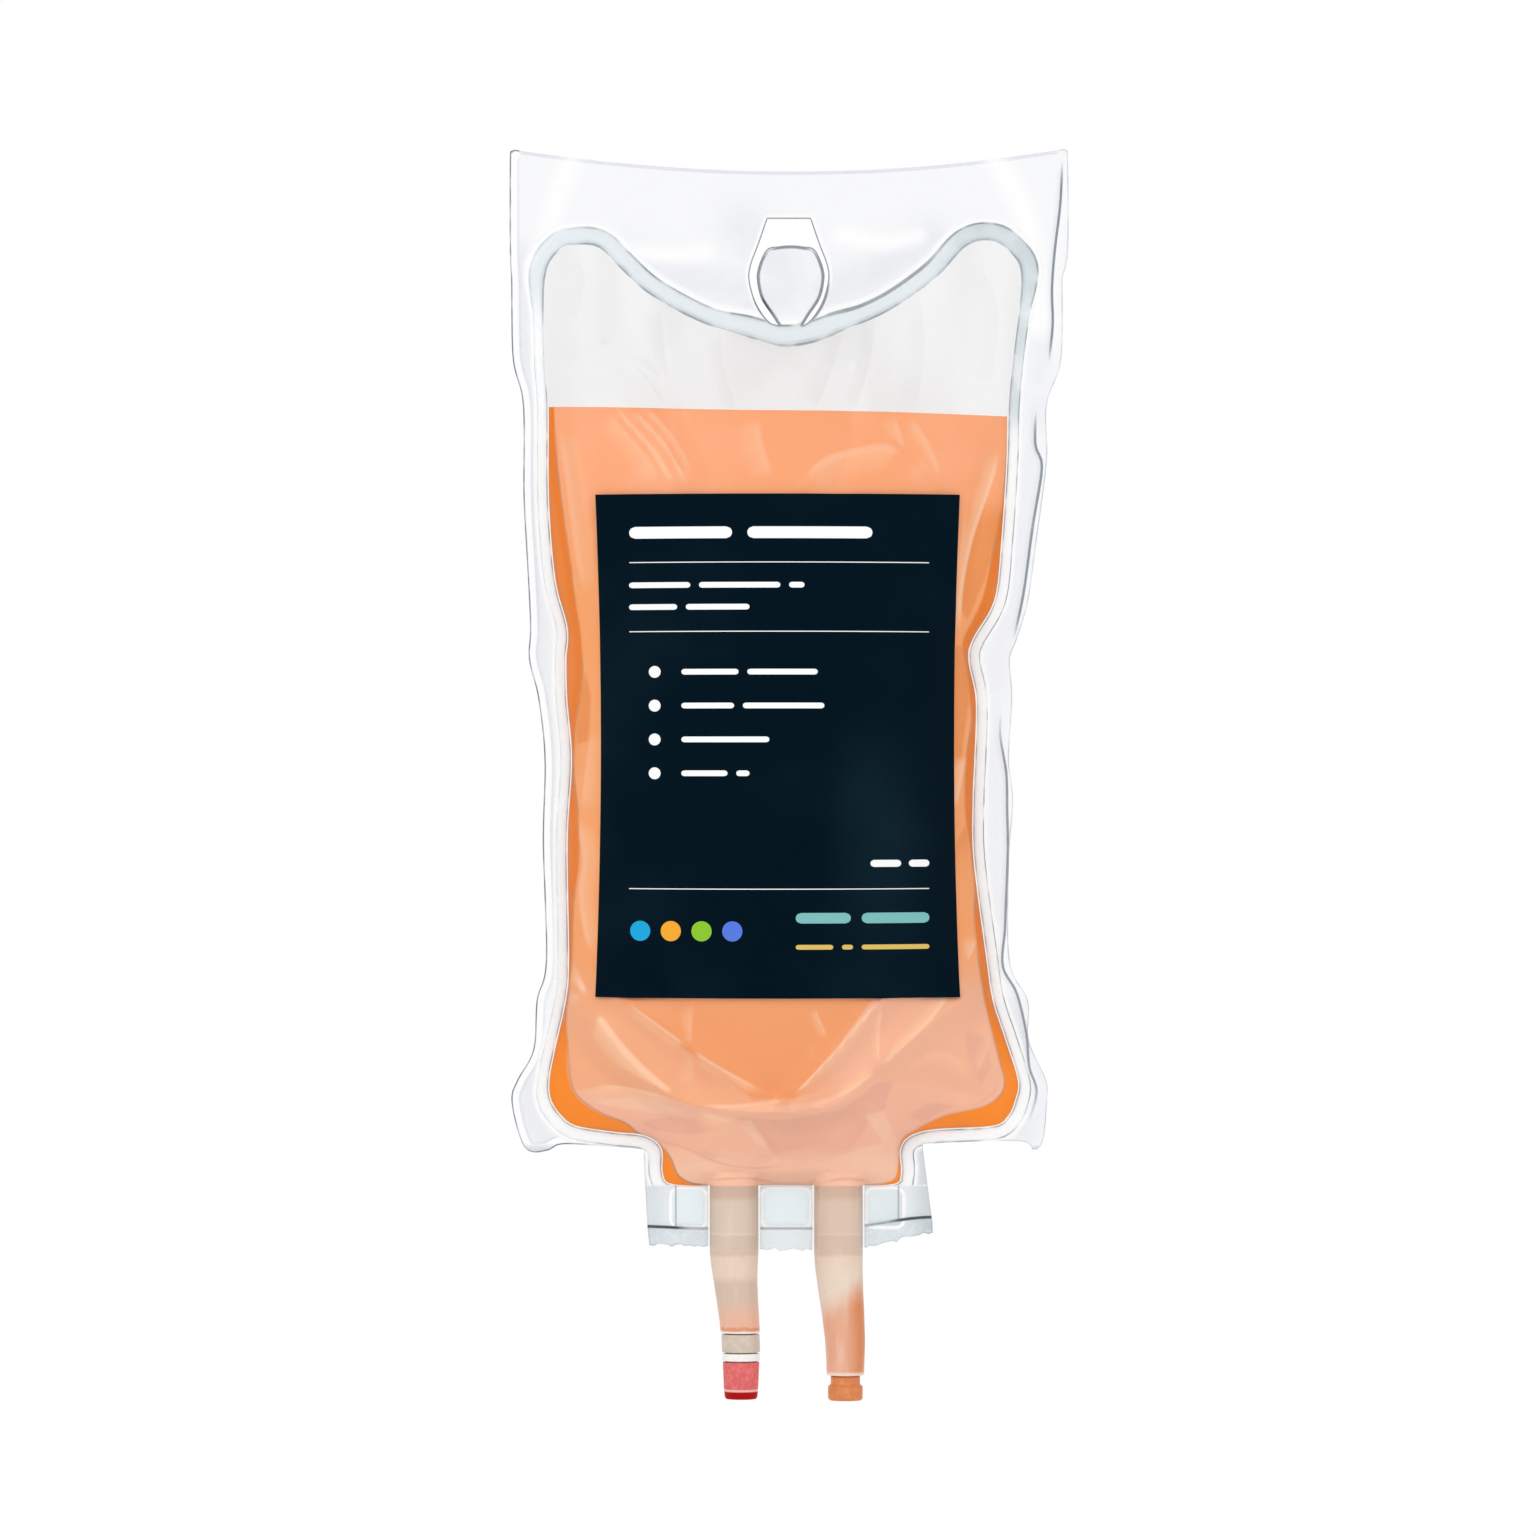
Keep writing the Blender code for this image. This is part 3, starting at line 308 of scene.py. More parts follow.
# The film: outline, chamber, welds, eyelet and folds
film = {
    "halfWidth": 0.0642, "top": 0.0161, "topSag": 0.0052, "hangShare": 0.96, "thickness": 0.00035,
    "fitGap": 0.0003, "cornerRound": 0.0013, "spacing": 0.00092, "rowShare": 0.866, "tightShare": 0.45,
    "leastEdge": 0.0002, "edgeStep": 0.0006, "smoothing": radians(42.0),
    "bulge": 0.0262, "fullness": 0.80, "headspacePressure": 0.30, "foldFade": 0.0065,
    "fluidLevel": -0.0444, "fluidTilt": -0.0185, "fluidInset": 0.00035,
    "fluidWave": 0.00012, "fluidTurns": 95.0, "insetShare": 0.97,
    "shoulder": -0.2093, "shoulderStrip": 0.0034, "neckFloor": -0.2226, "neckHalf": 0.0274,
    "neckStrip": 0.0060, "neckLean": 0.0001, "leftGap": 0.003, "rightGap": 0.002, "rightShares": (0.15, 0.95),
    "ledgeDrop": 0.0096, "hemHeight": 0.0049, "hemSkew": 0.0026,
    "padEdge": 0.0006, "padRound": 0.0015, "padNotch": 0.0013,
    "beadHeight": 0.0005, "beadSide": 0.0023, "beadTop": 0.0039, "beadMiddle": 0.0048, "beadFoot": 0.0028,
    "rippleHeight": 0.0010, "rippleLength": 0.0290, "rippleReach": 0.0065, "rippleSecond": 1.8,
    "topWave": 0.0900, "topStart": 0.6, "topReach": 1.3, "hookCalm": (0.67, 2.6),
    "puckerHeight": 0.00034, "puckerReach": 0.0085, "puckerRise": 0.0022, "puckerShift": 0.004,
    "puckerCalm": (0.002, 0.004),
    "foldSharpness": 1.4, "fineSharpness": 1.2,
    # the gathers' waves as (length, start, share), and the tear of the hem
    "puckerWaves": ((0.0127, 1.0, 1.0), (0.0079, 2.2, 0.7), (0.0203, 0.0, 0.5)),
    "tear": 0.00035, "tearTurns": (2600.0, 910.0), "fineTear": 0.00016, "fineTurns": 7300.0,
    "tearSag": 0.0006,
    # each side edge as (height, drawn in from the half width, flange width), in millimetres
    "left": ((-13.6, 0.3, 7.7), (-32.1, 0.7, 7.2), (-42.8, 3.0, 5.6), (-64.6, 3.2, 5.5), (-83.0, 4.2, 6.0),
             (-94.2, 4.7, 8.3), (-101.4, 4.4, 8.3), (-110.6, 6.6, 6.3), (-124.4, 8.0, 6.0),
             (-142.8, 7.6, 5.4), (-170.5, 8.3, 5.0), (-179.7, 6.2, 6.4), (-191.0, 5.4, 4.7),
             (-198.1, 1.7, 7.1), (-202.7, 0.4, 8.8)),
    "right": ((-13.6, 1.3, 9.3), (-32.1, 1.5, 11.0), (-42.8, 4.9, 8.6), (-55.4, 4.8, 9.0), (-73.8, 7.2, 7.8),
              (-87.6, 9.1, 7.5), (-96.8, 11.8, 9.8), (-101.4, 13.4, 9.2), (-110.6, 12.8, 8.1),
              (-124.4, 13.6, 7.6), (-133.6, 12.6, 9.0), (-147.4, 13.5, 7.9), (-170.5, 13.4, 5.0),
              (-179.7, 9.2, 7.8), (-188.9, 9.0, 5.0), (-198.1, 5.0, 6.2), (-202.7, 4.8, 7.0)),
    # the chamber's top weld as (share of the way across, drop below the hanging edge in millimetres)
    "topWeld": ((0.030, 7.2), (0.063, 5.9), (0.113, 6.4), (0.155, 10.8), (0.220, 17.2), (0.327, 23.6),
                (0.444, 27.8), (0.501, 29.3), (0.568, 28.2), (0.627, 25.6), (0.725, 20.8), (0.818, 13.6),
                (0.883, 6.2), (0.935, 4.9), (0.976, 7.6)),
    "filmCornerLeft": ((2.1, 0.9), (4.5, -1.9), (8.6, -1.5), (12.8, -0.1)),
    "filmCornerRight": ((0.9, 0.9), (3.2, -1.5), (6.6, 0.6)),
    "chamberCornerLeft": ((2.4, 2.9), (6.0, 0.4)),
    "chamberCornerRight": ((1.7, 2.8), (5.4, 0.4)),
    "neckTurnLeft": ((12.8, -1.0), (5.9, -1.8), (2.2, -4.6)),
    "neckTurnRight": ((6.4, -0.4), (0.6, -1.9), (-1.5, -4.9)),
    "floorTurnLeft": ((-1.9, 2.8), (0.9, 0.2)),
    "floorTurnRight": ((1.3, 3.2), (3.2, 0.3)),
    # eyelet rim and hanging tongue from the foot up, as shares of half width and height
    "eyeletHalf": 0.0090, "eyeletTopHalf": 0.0049, "eyeletHeight": 0.0245,
    "tongueDrop": 0.0064, "tongueTopHalf": 0.0032, "tongueSlit": 0.0012,
    "tongueCrown": 0.0003, "tongueShift": 0.0004,
    "eyeletRim": ((0.46, 0.98), (0.64, 0.91), (0.86, 0.77), (1.00, 0.58), (0.97, 0.44), (0.76, 0.23)),
    "tongueRim": ((0.36, 1.00), (0.56, 0.90), (0.88, 0.74), (1.00, 0.56), (0.95, 0.45), (0.83, 0.35),
                  (0.70, 0.285), (0.56, 0.264)),
}

ports = {
    "spacing": 0.0240, "offset": -0.0006, "lean": 0.0016, "leanLength": 0.0230, "hemClear": 0.0006,
    "tubeRadius": 0.0056, "tubeRise": 0.0006, "wrap": radians(65.0), "sleeveEnd": 0.0022,
    "humpRise": 0.0016, "humpFade": 0.0085, "sides": 72, "bevelFrom": radians(40.0),
    "smoothing": radians(35.0),
}

labelSize = {
    "width": 0.0835, "height": 0.1150, "top": -0.0637, "offset": -0.0026, "waist": 0.0013,
    "thickness": 0.0002,
}

halfSeam = film["fitGap"] / 2
tubeTop = film["neckFloor"] + ports["tubeRise"]
ledge = film["neckFloor"] - film["ledgeDrop"]
filmFoot = ledge - film["hemHeight"]
straightEnd = filmFoot - ports["hemClear"]
portCentres = (ports["offset"] - ports["spacing"] / 2, ports["offset"] + ports["spacing"] / 2)
humpRadius = ports["tubeRadius"] + film["fitGap"] - halfSeam
humpEdge = humpRadius * sin(ports["wrap"])
humpFoot = humpEdge + humpRadius * cos(ports["wrap"]) / tan(ports["wrap"])


def sidePoints(side, sign, ofWeld):
    return [(sign * (film["halfWidth"] - 0.001 * (drawn + (flange if ofWeld else 0.0))), 0.001 * height)
            for height, drawn, flange in film[side]]


def cornerPoints(key, start, level, sign):
    return [(start + sign * 0.001 * inwards, level + 0.001 * above) for inwards, above in film[key]]


def filmLoop():
    half = film["halfWidth"]
    left, right = sidePoints("left", -1, False), sidePoints("right", 1, False)
    strip = film["shoulder"] - film["shoulderStrip"]
    neck = film["neckHalf"] + film["neckStrip"]
    top = [(half * share, film["top"] - film["topSag"] * (1 - share ** 2))
           for share in np.linspace(film["hangShare"], -film["hangShare"], 9)]
    turn = film["cornerRound"]
    corner = [(half, right[0][1] / 2), (half, film["top"] - 2 * turn),
              (half - turn / 4, film["top"] - turn / 2), (half - turn, film["top"])]
    mirroredCorner = [(-x, z) for x, z in corner[::-1]]
    upper = smoothCurve([right[0]] + corner + top + mirroredCorner + [left[0]])
    lowerLeft = smoothCurve(left + cornerPoints("filmCornerLeft", left[-1][0], strip, 1)
                            + [(-neck, strip - film["cornerRound"])])
    lowerRight = smoothCurve([(neck - film["hemSkew"], strip)]
                             + cornerPoints("filmCornerRight", right[-1][0], strip, -1)[::-1] + right[::-1])
    # the hem below the ledge is torn rather than cut
    across = np.linspace(-neck + film["cornerRound"], neck - film["fitGap"], 64)
    first, second = (across * turns for turns in film["tearTurns"])
    torn = film["tear"] * np.sin(first) * np.sin(second + 1.0)
    torn += film["fineTear"] * np.sin(across * film["fineTurns"])
    torn -= film["tearSag"] * np.cos(pi * across / neck)
    hem = filmFoot + film["hemSkew"] * smoothStep(neck / 2, neck, across) + torn + film["tearSag"]
    down = np.array([(-neck + film["neckLean"] * step, height)
                     for step, height in enumerate(np.linspace(strip - film["leftGap"], ledge, 10))])
    heights = np.linspace(ledge + film["hemSkew"] / 2, strip - film["rightGap"], 12)
    up = np.array([(neck - film["hemSkew"] * share, height)
                   for share, height in zip(np.linspace(*film["rightShares"], 12), heights)])
    loop = np.vstack([thinned(upper, film["spacing"]), thinned(lowerLeft, film["spacing"]), down,
                      np.column_stack((across, hem)), up, thinned(lowerRight, film["spacing"])])
    return loop[np.linalg.norm(loop - np.roll(loop, 1, axis=0), axis=1) > film["leastEdge"]]


def chamberLoop():
    left, right = sidePoints("left", -1, True), sidePoints("right", 1, True)
    span = right[0][0] - left[0][0]
    top = [(left[0][0] + share * span, -0.001 * drop) for share, drop in film["topWeld"]]
    shoulder, floor, neck = film["shoulder"], film["neckFloor"], film["neckHalf"]
    lowerLeft = (cornerPoints("chamberCornerLeft", left[-1][0], shoulder, 1)
                 + cornerPoints("neckTurnLeft", -neck, shoulder, -1)
                 + cornerPoints("floorTurnLeft", -neck, floor, 1))
    lowerRight = (cornerPoints("floorTurnRight", neck, floor, -1)[::-1]
                  + cornerPoints("neckTurnRight", neck, shoulder, 1)[::-1]
                  + cornerPoints("chamberCornerRight", right[-1][0], shoulder, -1)[::-1])
    middle = [(portCentres[0], floor), (ports["offset"], floor), (portCentres[1], floor)]
    return smoothCurve(left + lowerLeft + middle + lowerRight + right[::-1] + top[::-1], closed=True)


def fluidTop(across):
    # the bag hangs a little askew, so the surface runs down to the right
    wave = film["fluidWave"] * np.sin(across * film["fluidTurns"])
    return film["fluidLevel"] + film["fluidTilt"] * across + wave


def fluidLoop(chamber):
    drawn = inset(chamber, film["fluidInset"])
    drawn = drawn[distanceTo(drawn, chamber, True) > film["fluidInset"] * film["insetShare"]]
    below = drawn[:, 1] < fluidTop(drawn[:, 0])
    first = np.flatnonzero(below & ~np.roll(below, 1))[0]
    wet = np.roll(drawn, -first, axis=0)[:np.count_nonzero(below)]
    left, right = wet[0][0], wet[-1][0]
    sides = thinned(np.vstack((wet, [[right, fluidTop(right)]])), film["spacing"])
    across = np.linspace(right, left, int((right - left) / film["spacing"]))[1:]
    return np.vstack((sides, np.column_stack((across, fluidTop(across)))))


def eyeletLoop():
    half, height = film["eyeletHalf"], film["eyeletHeight"]
    rim = smoothCurve([(-half * across, -height * down) for across, down in film["eyeletRim"]]
                      + [(-film["eyeletTopHalf"], 0.0)])
    wide = half - film["tongueSlit"]
    tongue = smoothCurve([(wide * across, -height * down) for across, down in film["tongueRim"]]
                         + [(film["tongueTopHalf"], -film["tongueDrop"])])
    rim, tongue = thinned(rim, film["edgeStep"]), thinned(tongue, film["edgeStep"])
    level = np.linspace(-film["eyeletTopHalf"], film["eyeletTopHalf"], 12)[1:-1]
    top = np.column_stack((level, np.zeros(10)))
    flip = np.array([-1.0, 1.0])
    across = np.linspace(film["tongueTopHalf"], -film["tongueTopHalf"], 12)[1:-1]
    crown = film["tongueCrown"] * (1 - (across / film["tongueTopHalf"]) ** 2)
    tongueTop = np.column_stack((across, crown - film["tongueDrop"]))
    hung = np.vstack((tongue, tongueTop, (tongue * flip)[::-1])) + np.array([film["tongueShift"], 0.0])
    return np.vstack((rim, top, (rim * flip)[::-1], hung))[::-1]


def labelLoop():
    half, tall = labelSize["width"] / 2, labelSize["height"]
    heights = np.linspace(labelSize["top"] - tall, labelSize["top"], int(tall / film["spacing"]))
    middle = labelSize["top"] - tall / 2
    drawn = labelSize["waist"] * (1.0 - ((heights - middle) / (tall / 2)) ** 2)
    widths = np.linspace(-half, half, int(2 * half / film["spacing"]))[1:-1]
    right = np.column_stack((half - drawn, heights))
    top = np.column_stack((widths[::-1], np.full(len(widths), heights[-1])))
    left = np.column_stack((-half + drawn, heights))[::-1]
    bottom = np.column_stack((widths, np.full(len(widths), heights[0])))
    return np.vstack((right, top, left, bottom)) + np.array([labelSize["offset"], 0.0])


def padLoops():
    clear = humpFoot + film["fitGap"]
    over, under = film["neckFloor"] - film["padEdge"], ledge + film["padEdge"]
    spans = ((-film["neckHalf"] + film["padEdge"], portCentres[0] - clear),
             (portCentres[0] + clear, portCentres[1] - clear),
             (portCentres[1] + clear, film["neckHalf"] - film["padNotch"]))
    feet, tops = [], []
    for left, right in spans:
        for loops, drawn in ((feet, 0.0), (tops, film["padEdge"])):
            west, east, south, north = left + drawn, right - drawn, under + drawn, over - drawn
            turn = film["padRound"] - drawn
            corners = []
            for x, z, start in ((east - turn, south + turn, -90), (east - turn, north - turn, 0),
                                (west + turn, north - turn, 90), (west + turn, south + turn, 180)):
                corners += [(x + turn * cos(radians(start + step)), z + turn * sin(radians(start + step)))
                            for step in (0, 30, 60, 90)]
            loops.append(np.array(corners))
    return feet, tops


def humpLines():
    offsets = [humpRadius * sin(ports["wrap"] * share) for share in np.linspace(0.0, 1.0, 8)] + [humpFoot]
    heights = np.linspace(tubeTop + ports["humpRise"], filmFoot + ports["sleeveEnd"], 20)
    places = sorted({sign * offset for offset in offsets for sign in (-1, 1)})
    return [np.column_stack((np.full(len(heights), centre + place), heights))
            for centre in portCentres for place in places]


# Where the weld bead changes its width, as (from, to) in metres
beadPlaces = {
    "upper": (-0.024, -0.010), "lobes": (0.050, 0.044), "middle": (0.017, 0.008), "below": -0.04,
    "lower": (-0.195, -0.205),
}


def beadWidth(points):
    apart, height = np.abs(points[:, 0]), points[:, 1]
    above = height > beadPlaces["below"]
    upper = np.maximum(smoothStep(*beadPlaces["upper"], height),
                       smoothStep(*beadPlaces["lobes"], apart) * above)
    middle = smoothStep(*beadPlaces["middle"], apart) * above
    lower = smoothStep(*beadPlaces["lower"], height)
    side, top, dip, foot = (film[key] for key in ("beadSide", "beadTop", "beadMiddle", "beadFoot"))
    return side + (top - side) * upper + (dip - top) * middle + (foot - side) * lower


def planMesh(outline, hole, loops, lines):
    # one triangulated plan that both sheets, the fluid and the label share
    spacing = film["spacing"]
    low, high = outline.min(axis=0), outline.max(axis=0)
    rows = []
    for row, height in enumerate(np.arange(low[1], high[1], spacing * film["rowShare"])):
        across = np.arange(low[0] + (spacing / 2 if row % 2 else 0.0), high[0], spacing)
        rows.append(np.column_stack((across, np.full(len(across), height))))
    grid = np.vstack(rows)
    grid = grid[insideOf(grid, outline)]
    closed = [outline, hole] + loops
    for chain in closed + lines:
        low, high = chain.min(axis=0) - spacing, chain.max(axis=0) + spacing
        near = np.flatnonzero(((grid > low) & (grid < high)).all(axis=1))
        away = distanceTo(grid[near], chain, any(chain is loop for loop in closed))
        grid = np.delete(grid, near[away < spacing * film["tightShare"]], axis=0)
    points, edges = [], []
    for chain in closed + lines:
        first = len(points)
        points.extend(map(tuple, chain))
        edges.extend((first + step, first + step + 1) for step in range(len(chain) - 1))
        if any(chain is loop for loop in closed):
            edges.append((len(points) - 1, first))
    points.extend(map(tuple, grid))
    verts, _, faces, _, _, _ = delaunay_2d_cdt(points, edges, [], 0, 1e-7)
    flat = np.array([tuple(vert) for vert in verts])
    triangles = np.array([tuple(face) for face in faces])
    middles = flat[triangles].mean(axis=1)
    return flat, triangles[insideOf(middles, outline) & ~insideOf(middles, hole)]


def partOf(triangles, flat, loop):
    return triangles[insideOf(flat[triangles].mean(axis=1), loop)]


def stretchedSheet(flat, triangles, load, tries=1500, done=1e-6):
    # height of a stretched sheet under a load, held at its rim, by conjugate gradients
    used, local = np.unique(triangles, return_inverse=True)
    local = local.reshape(triangles.shape)
    spots, count = flat[used], len(used)
    sides = [spots[local[:, index]] for index in range(3)]
    first, second = sides[1] - sides[0], sides[2] - sides[0]
    area = np.abs(first[:, 0] * second[:, 1] - first[:, 1] * second[:, 0])
    starts, ends, weights = [], [], []
    for near, far, other in ((0, 1, 2), (1, 2, 0), (2, 0, 1)):
        spread = ((sides[near] - sides[other]) * (sides[far] - sides[other])).sum(axis=1)
        starts.append(local[:, near])
        ends.append(local[:, far])
        weights.append(0.5 * spread / area)
    starts, ends, weights = np.concatenate(starts), np.concatenate(ends), np.concatenate(weights)
    keys = np.minimum(starts, ends) * count + np.maximum(starts, ends)
    single, seen = np.unique(keys, return_counts=True)
    rim = np.zeros(count, dtype=bool)
    rim[single[seen == 1] // count] = True
    rim[single[seen == 1] % count] = True
    free = (~rim).astype(float)
    push = sum(np.bincount(local[:, index], area / 6, count) for index in range(3)) * load(spots) * free
    middle = np.bincount(starts, weights, count) + np.bincount(ends, weights, count)

    def pull(height):
        flow = weights * (height[starts] - height[ends])
        return (np.bincount(starts, flow, count) - np.bincount(ends, flow, count)) * free

    height = np.zeros(count)
    left = push.copy()
    eased = left / middle
    way, power = eased.copy(), left @ eased
    for _ in range(tries):
        drawn = pull(way)
        step = power / (way @ drawn)
        height += step * way
        left -= step * drawn
        if np.abs(left).max() < done * np.abs(push).max():
            break
        eased = left / middle
        power, last = left @ eased, power
        way = eased + way * (power / last)
    lifted = np.zeros(len(flat))
    lifted[used] = height
    return lifted


def bagLoad(spots):
    depth = np.maximum(film["fluidLevel"] - spots[:, 1], 0.0) / (film["fluidLevel"] - film["neckFloor"])
    return film["headspacePressure"] + np.sqrt(depth)


# Folds as (points along the crest, half width, height), in millimetres; a minus is a valley
folds = {
    "front": (
        (((-28.9, -25.7), (-29.4, -35.3), (-28.9, -42.8)), 5.4, -1.1),
        (((12.8, -35.3), (13.9, -50.3), (10.7, -61.0)), 6.4, -1.3),
        (((-42.8, -35.3), (-34.2, -41.7), (-25.7, -53.5), (-23.0, -59.9)), 4.8, 1.0),
        (((-49.8, -51.4), (-46.5, -70.6), (-42.3, -88.8)), 4.8, 1.3),
        (((48.1, -51.4), (44.4, -68.5), (41.7, -85.6)), 4.8, -1.3),
        (((-50.1, -181.9), (-42.8, -185.6), (-34.8, -195.0), (-25.4, -201.8), (-12.8, -204.4), (1.1, -204.6)),
          5.9, 3.4),
        (((-36.6, -179.4), (-24.2, -187.7), (-9.6, -200.1)), 5.4, 2.2),
        (((40.1, -179.0), (21.4, -193.0), (11.8, -202.4), (1.1, -204.6)), 5.9, 3.1),
        (((20.8, -179.0), (11.8, -189.4), (2.1, -200.1)), 5.4, 2.2),
        (((11.8, -206.5), (5.4, -212.4), (-3.2, -215.1)), 4.3, -1.1),
        (((30.0, -195.8), (39.6, -200.1), (45.5, -202.2)), 4.8, -1.3),
        (((-47.1, -192.6), (-38.5, -200.1), (-27.8, -206.5)), 4.8, -1.5),
    ),
    "back": (
        (((-42.8, -181.9), (-23.5, -198.0), (0.0, -203.3), (21.4, -195.8), (39.6, -180.8)), 6.4, 1.9),
        (((-21.4, -40.7), (-17.1, -55.6)), 6.4, -1.3),
        (((26.8, -35.3), (24.6, -53.5)), 6.4, -1.3),
    ),
    # finer creases that only the eye needs
    "fineFront": (
        (((-46.1, -27.2), (-38.4, -31.4), (-32.4, -37.4), (-28.2, -44.2)), 1.8, 0.35),
        (((-40.9, -30.6), (-30.7, -34.8), (-26.5, -42.5), (-25.6, -55.2)), 1.5, 0.35),
        (((-40.9, -38.7), (-35.8, -44.7), (-29.9, -52.3), (-23.9, -59.3)), 1.5, -0.3),
        (((3.3, -61.7), (7.5, -57.0), (13.5, -54.5), (22.0, -53.2), (28.0, -55.3), (33.9, -60.9)), 2.0, 0.4),
        (((25.0, -45.5), (27.5, -53.2), (32.6, -61.3)), 1.6, -0.3),
        (((-49.0, -136.2), (-46.7, -146.4), (-47.6, -154.9), (-46.1, -165.1), (-43.7, -169.3)), 1.6, 0.4),
        (((-38.4, -178.9), (-29.0, -185.7), (-18.0, -193.4), (-5.2, -200.6)), 1.3, 0.45),
        (((21.2, -178.9), (20.5, -185.7), (20.3, -193.8)), 1.3, 0.4),
        (((21.2, -179.4), (11.0, -190.4), (-0.1, -203.2)), 1.4, 0.45),
        (((-12.0, -207.5), (-6.9, -209.8), (-3.5, -215.1)), 1.6, -0.5),
        (((17.3, -206.2), (15.2, -211.3), (12.7, -216.4)), 1.6, 0.5),
        (((-35.8, -207.9), (-29.0, -212.1), (-23.9, -213.4), (-18.0, -216.8)), 1.8, -0.5),
        (((-20.8, -219.4), (-10.3, -218.2), (-1.8, -219.3), (8.4, -218.4), (20.8, -219.4)), 1.6, 0.5),
    ),
    "fineBack": (
        (((-38.0, -60.0), (-30.0, -74.0), (-26.0, -96.0)), 2.2, 0.4),
        (((36.0, -56.0), (31.0, -72.0), (30.0, -92.0)), 2.2, 0.4),
        (((-30.0, -178.0), (-18.0, -191.0), (-4.0, -206.0)), 1.8, 0.5),
        (((28.0, -176.0), (16.0, -191.0), (3.0, -206.0)), 1.8, 0.5),
        (((-22.0, -212.0), (-6.0, -214.0), (12.0, -211.0), (22.0, -214.0)), 2.0, -0.5),
    ),
}


def foldHeight(points, foldKey, sharpness):
    total = np.zeros(len(points))
    for line, half, height in folds[foldKey]:
        share = np.maximum(1.0 - creaseDistance(points, line) / (0.001 * half), 0.0)
        total += 0.001 * height * share ** sharpness
    return total


def humpHeight(points):
    tallest = np.zeros(len(points))
    for centre in portCentres:
        across = np.abs(points[:, 0] - centre)
        crown = np.sqrt(np.maximum(humpRadius ** 2 - across ** 2, 0.0))
        skirt = humpRadius * cos(ports["wrap"]) - (across - humpEdge) * tan(ports["wrap"])
        tallest = np.maximum(tallest, np.where(across < humpEdge, crown, np.maximum(skirt, 0.0)))
    start, end = tubeTop + ports["humpRise"], tubeTop + ports["humpFade"]
    return tallest * (1.0 - smoothStep(start, end, points[:, 1]))


def rippleOf(points, outside):
    # the free flange waves in and out, more so further from the weld
    reach = np.clip((outside - film["beadSide"]) / film["rippleReach"], 0.0, 1.0)
    side = np.where(points[:, 0] > 0, 1.0, -1.0)
    turns = 2 * pi * points[:, 1] / film["rippleLength"]
    sides = np.sin(turns + side) + 0.5 * np.sin(film["rippleSecond"] * turns + 2.0 * side)
    top = np.sin(2 * pi * points[:, 0] / film["topWave"] + film["topStart"])
    still, free = (film["eyeletHalf"] * share for share in film["hookCalm"])
    nearHook = smoothStep(still, free, np.abs(points[:, 0]))
    upper = smoothStep(-film["eyeletHeight"] * film["topReach"], 0.0, points[:, 1])
    calm = smoothStep(film["shoulder"] - film["shoulderStrip"], film["shoulder"] + film["shoulderStrip"],
                      points[:, 1])
    return film["rippleHeight"] * reach * calm * ((1.0 - upper) * sides + upper * top * nearHook)


def puckerOf(points, weldRun, depth):
    # small gathers that run in from the weld and fade
    wave = sum(share * np.sin(weldRun * 2 * pi / length + start)
               for length, start, share in film["puckerWaves"])
    rise = smoothStep(0.0, film["puckerRise"], depth) * np.exp(-depth / film["puckerReach"])
    under, over = film["puckerCalm"]
    calm = 1.0 - smoothStep(film["shoulder"] - under, film["neckFloor"] + over, points[:, 1])
    return film["puckerHeight"] * wave * rise * calm


outline, chamber, eyelet = filmLoop(), chamberLoop(), eyeletLoop()
weld = thinned(chamber, film["spacing"], closed=True)
crest = inset(weld, -beadWidth(weld) / 2)
beadEdge = inset(weld, -beadWidth(weld))
padFeet, padTops = padLoops()
wetLoop, labelEdge = fluidLoop(chamber), labelLoop()
plan, triangles = planMesh(outline, eyelet, [weld, crest, beadEdge, wetLoop, labelEdge] + padFeet + padTops,
                           humpLines())
print(f"stage: plan of {len(plan)} points and {len(triangles)} triangles")

inChamber = insideOf(plan, chamber)
fineWeld = thinned(chamber, film["edgeStep"], closed=True)
fromWeld = distanceTo(plan, fineWeld, True)
depth = np.where(inChamber, fromWeld, 0.0)
outside = np.where(inChamber, 0.0, fromWeld)
weldRun = runAlong(plan, fineWeld)
beadShare = np.where(inChamber, -fromWeld, fromWeld) / beadWidth(plan)
pull = stretchedSheet(plan, partOf(triangles, plan, weld), bagLoad)
pull = film["bulge"] * (pull / pull.max()) ** film["fullness"]
print("stage: chamber filled")

padSigned = np.max([distanceTo(plan, top, True) * np.where(insideOf(plan, top), 1.0, -1.0)
                    for top in padTops], axis=0)
bead = film["beadHeight"] * np.sqrt(np.maximum(1.0 - (2.0 * beadShare - 1.0) ** 2, 0.0))
raised = np.maximum(bead, film["beadHeight"] * smoothStep(-film["padEdge"], 0.0, padSigned))
hump = humpHeight(plan)
ripple = rippleOf(plan, outside)


def standOf(foldKey, fineKey, shift):
    near = np.clip(pull / film["foldFade"], 0.0, 1.0)
    stand = pull + near * foldHeight(plan, foldKey, film["foldSharpness"])
    stand += near * foldHeight(plan, fineKey, film["fineSharpness"])
    stand += puckerOf(plan, weldRun + shift, depth) * near
    return np.maximum.reduce([stand, raised, hump])


stands = {"front": standOf("front", "fineFront", 0.0),
          "back": standOf("back", "fineBack", film["puckerShift"])}


def deselect():
    if bpy.context.mode != "OBJECT":
        bpy.ops.object.mode_set(mode="OBJECT")
    bpy.ops.object.select_all(action="DESELECT")


def choose(piece):
    deselect()
    piece.select_set(True)
    bpy.context.view_layer.objects.active = piece


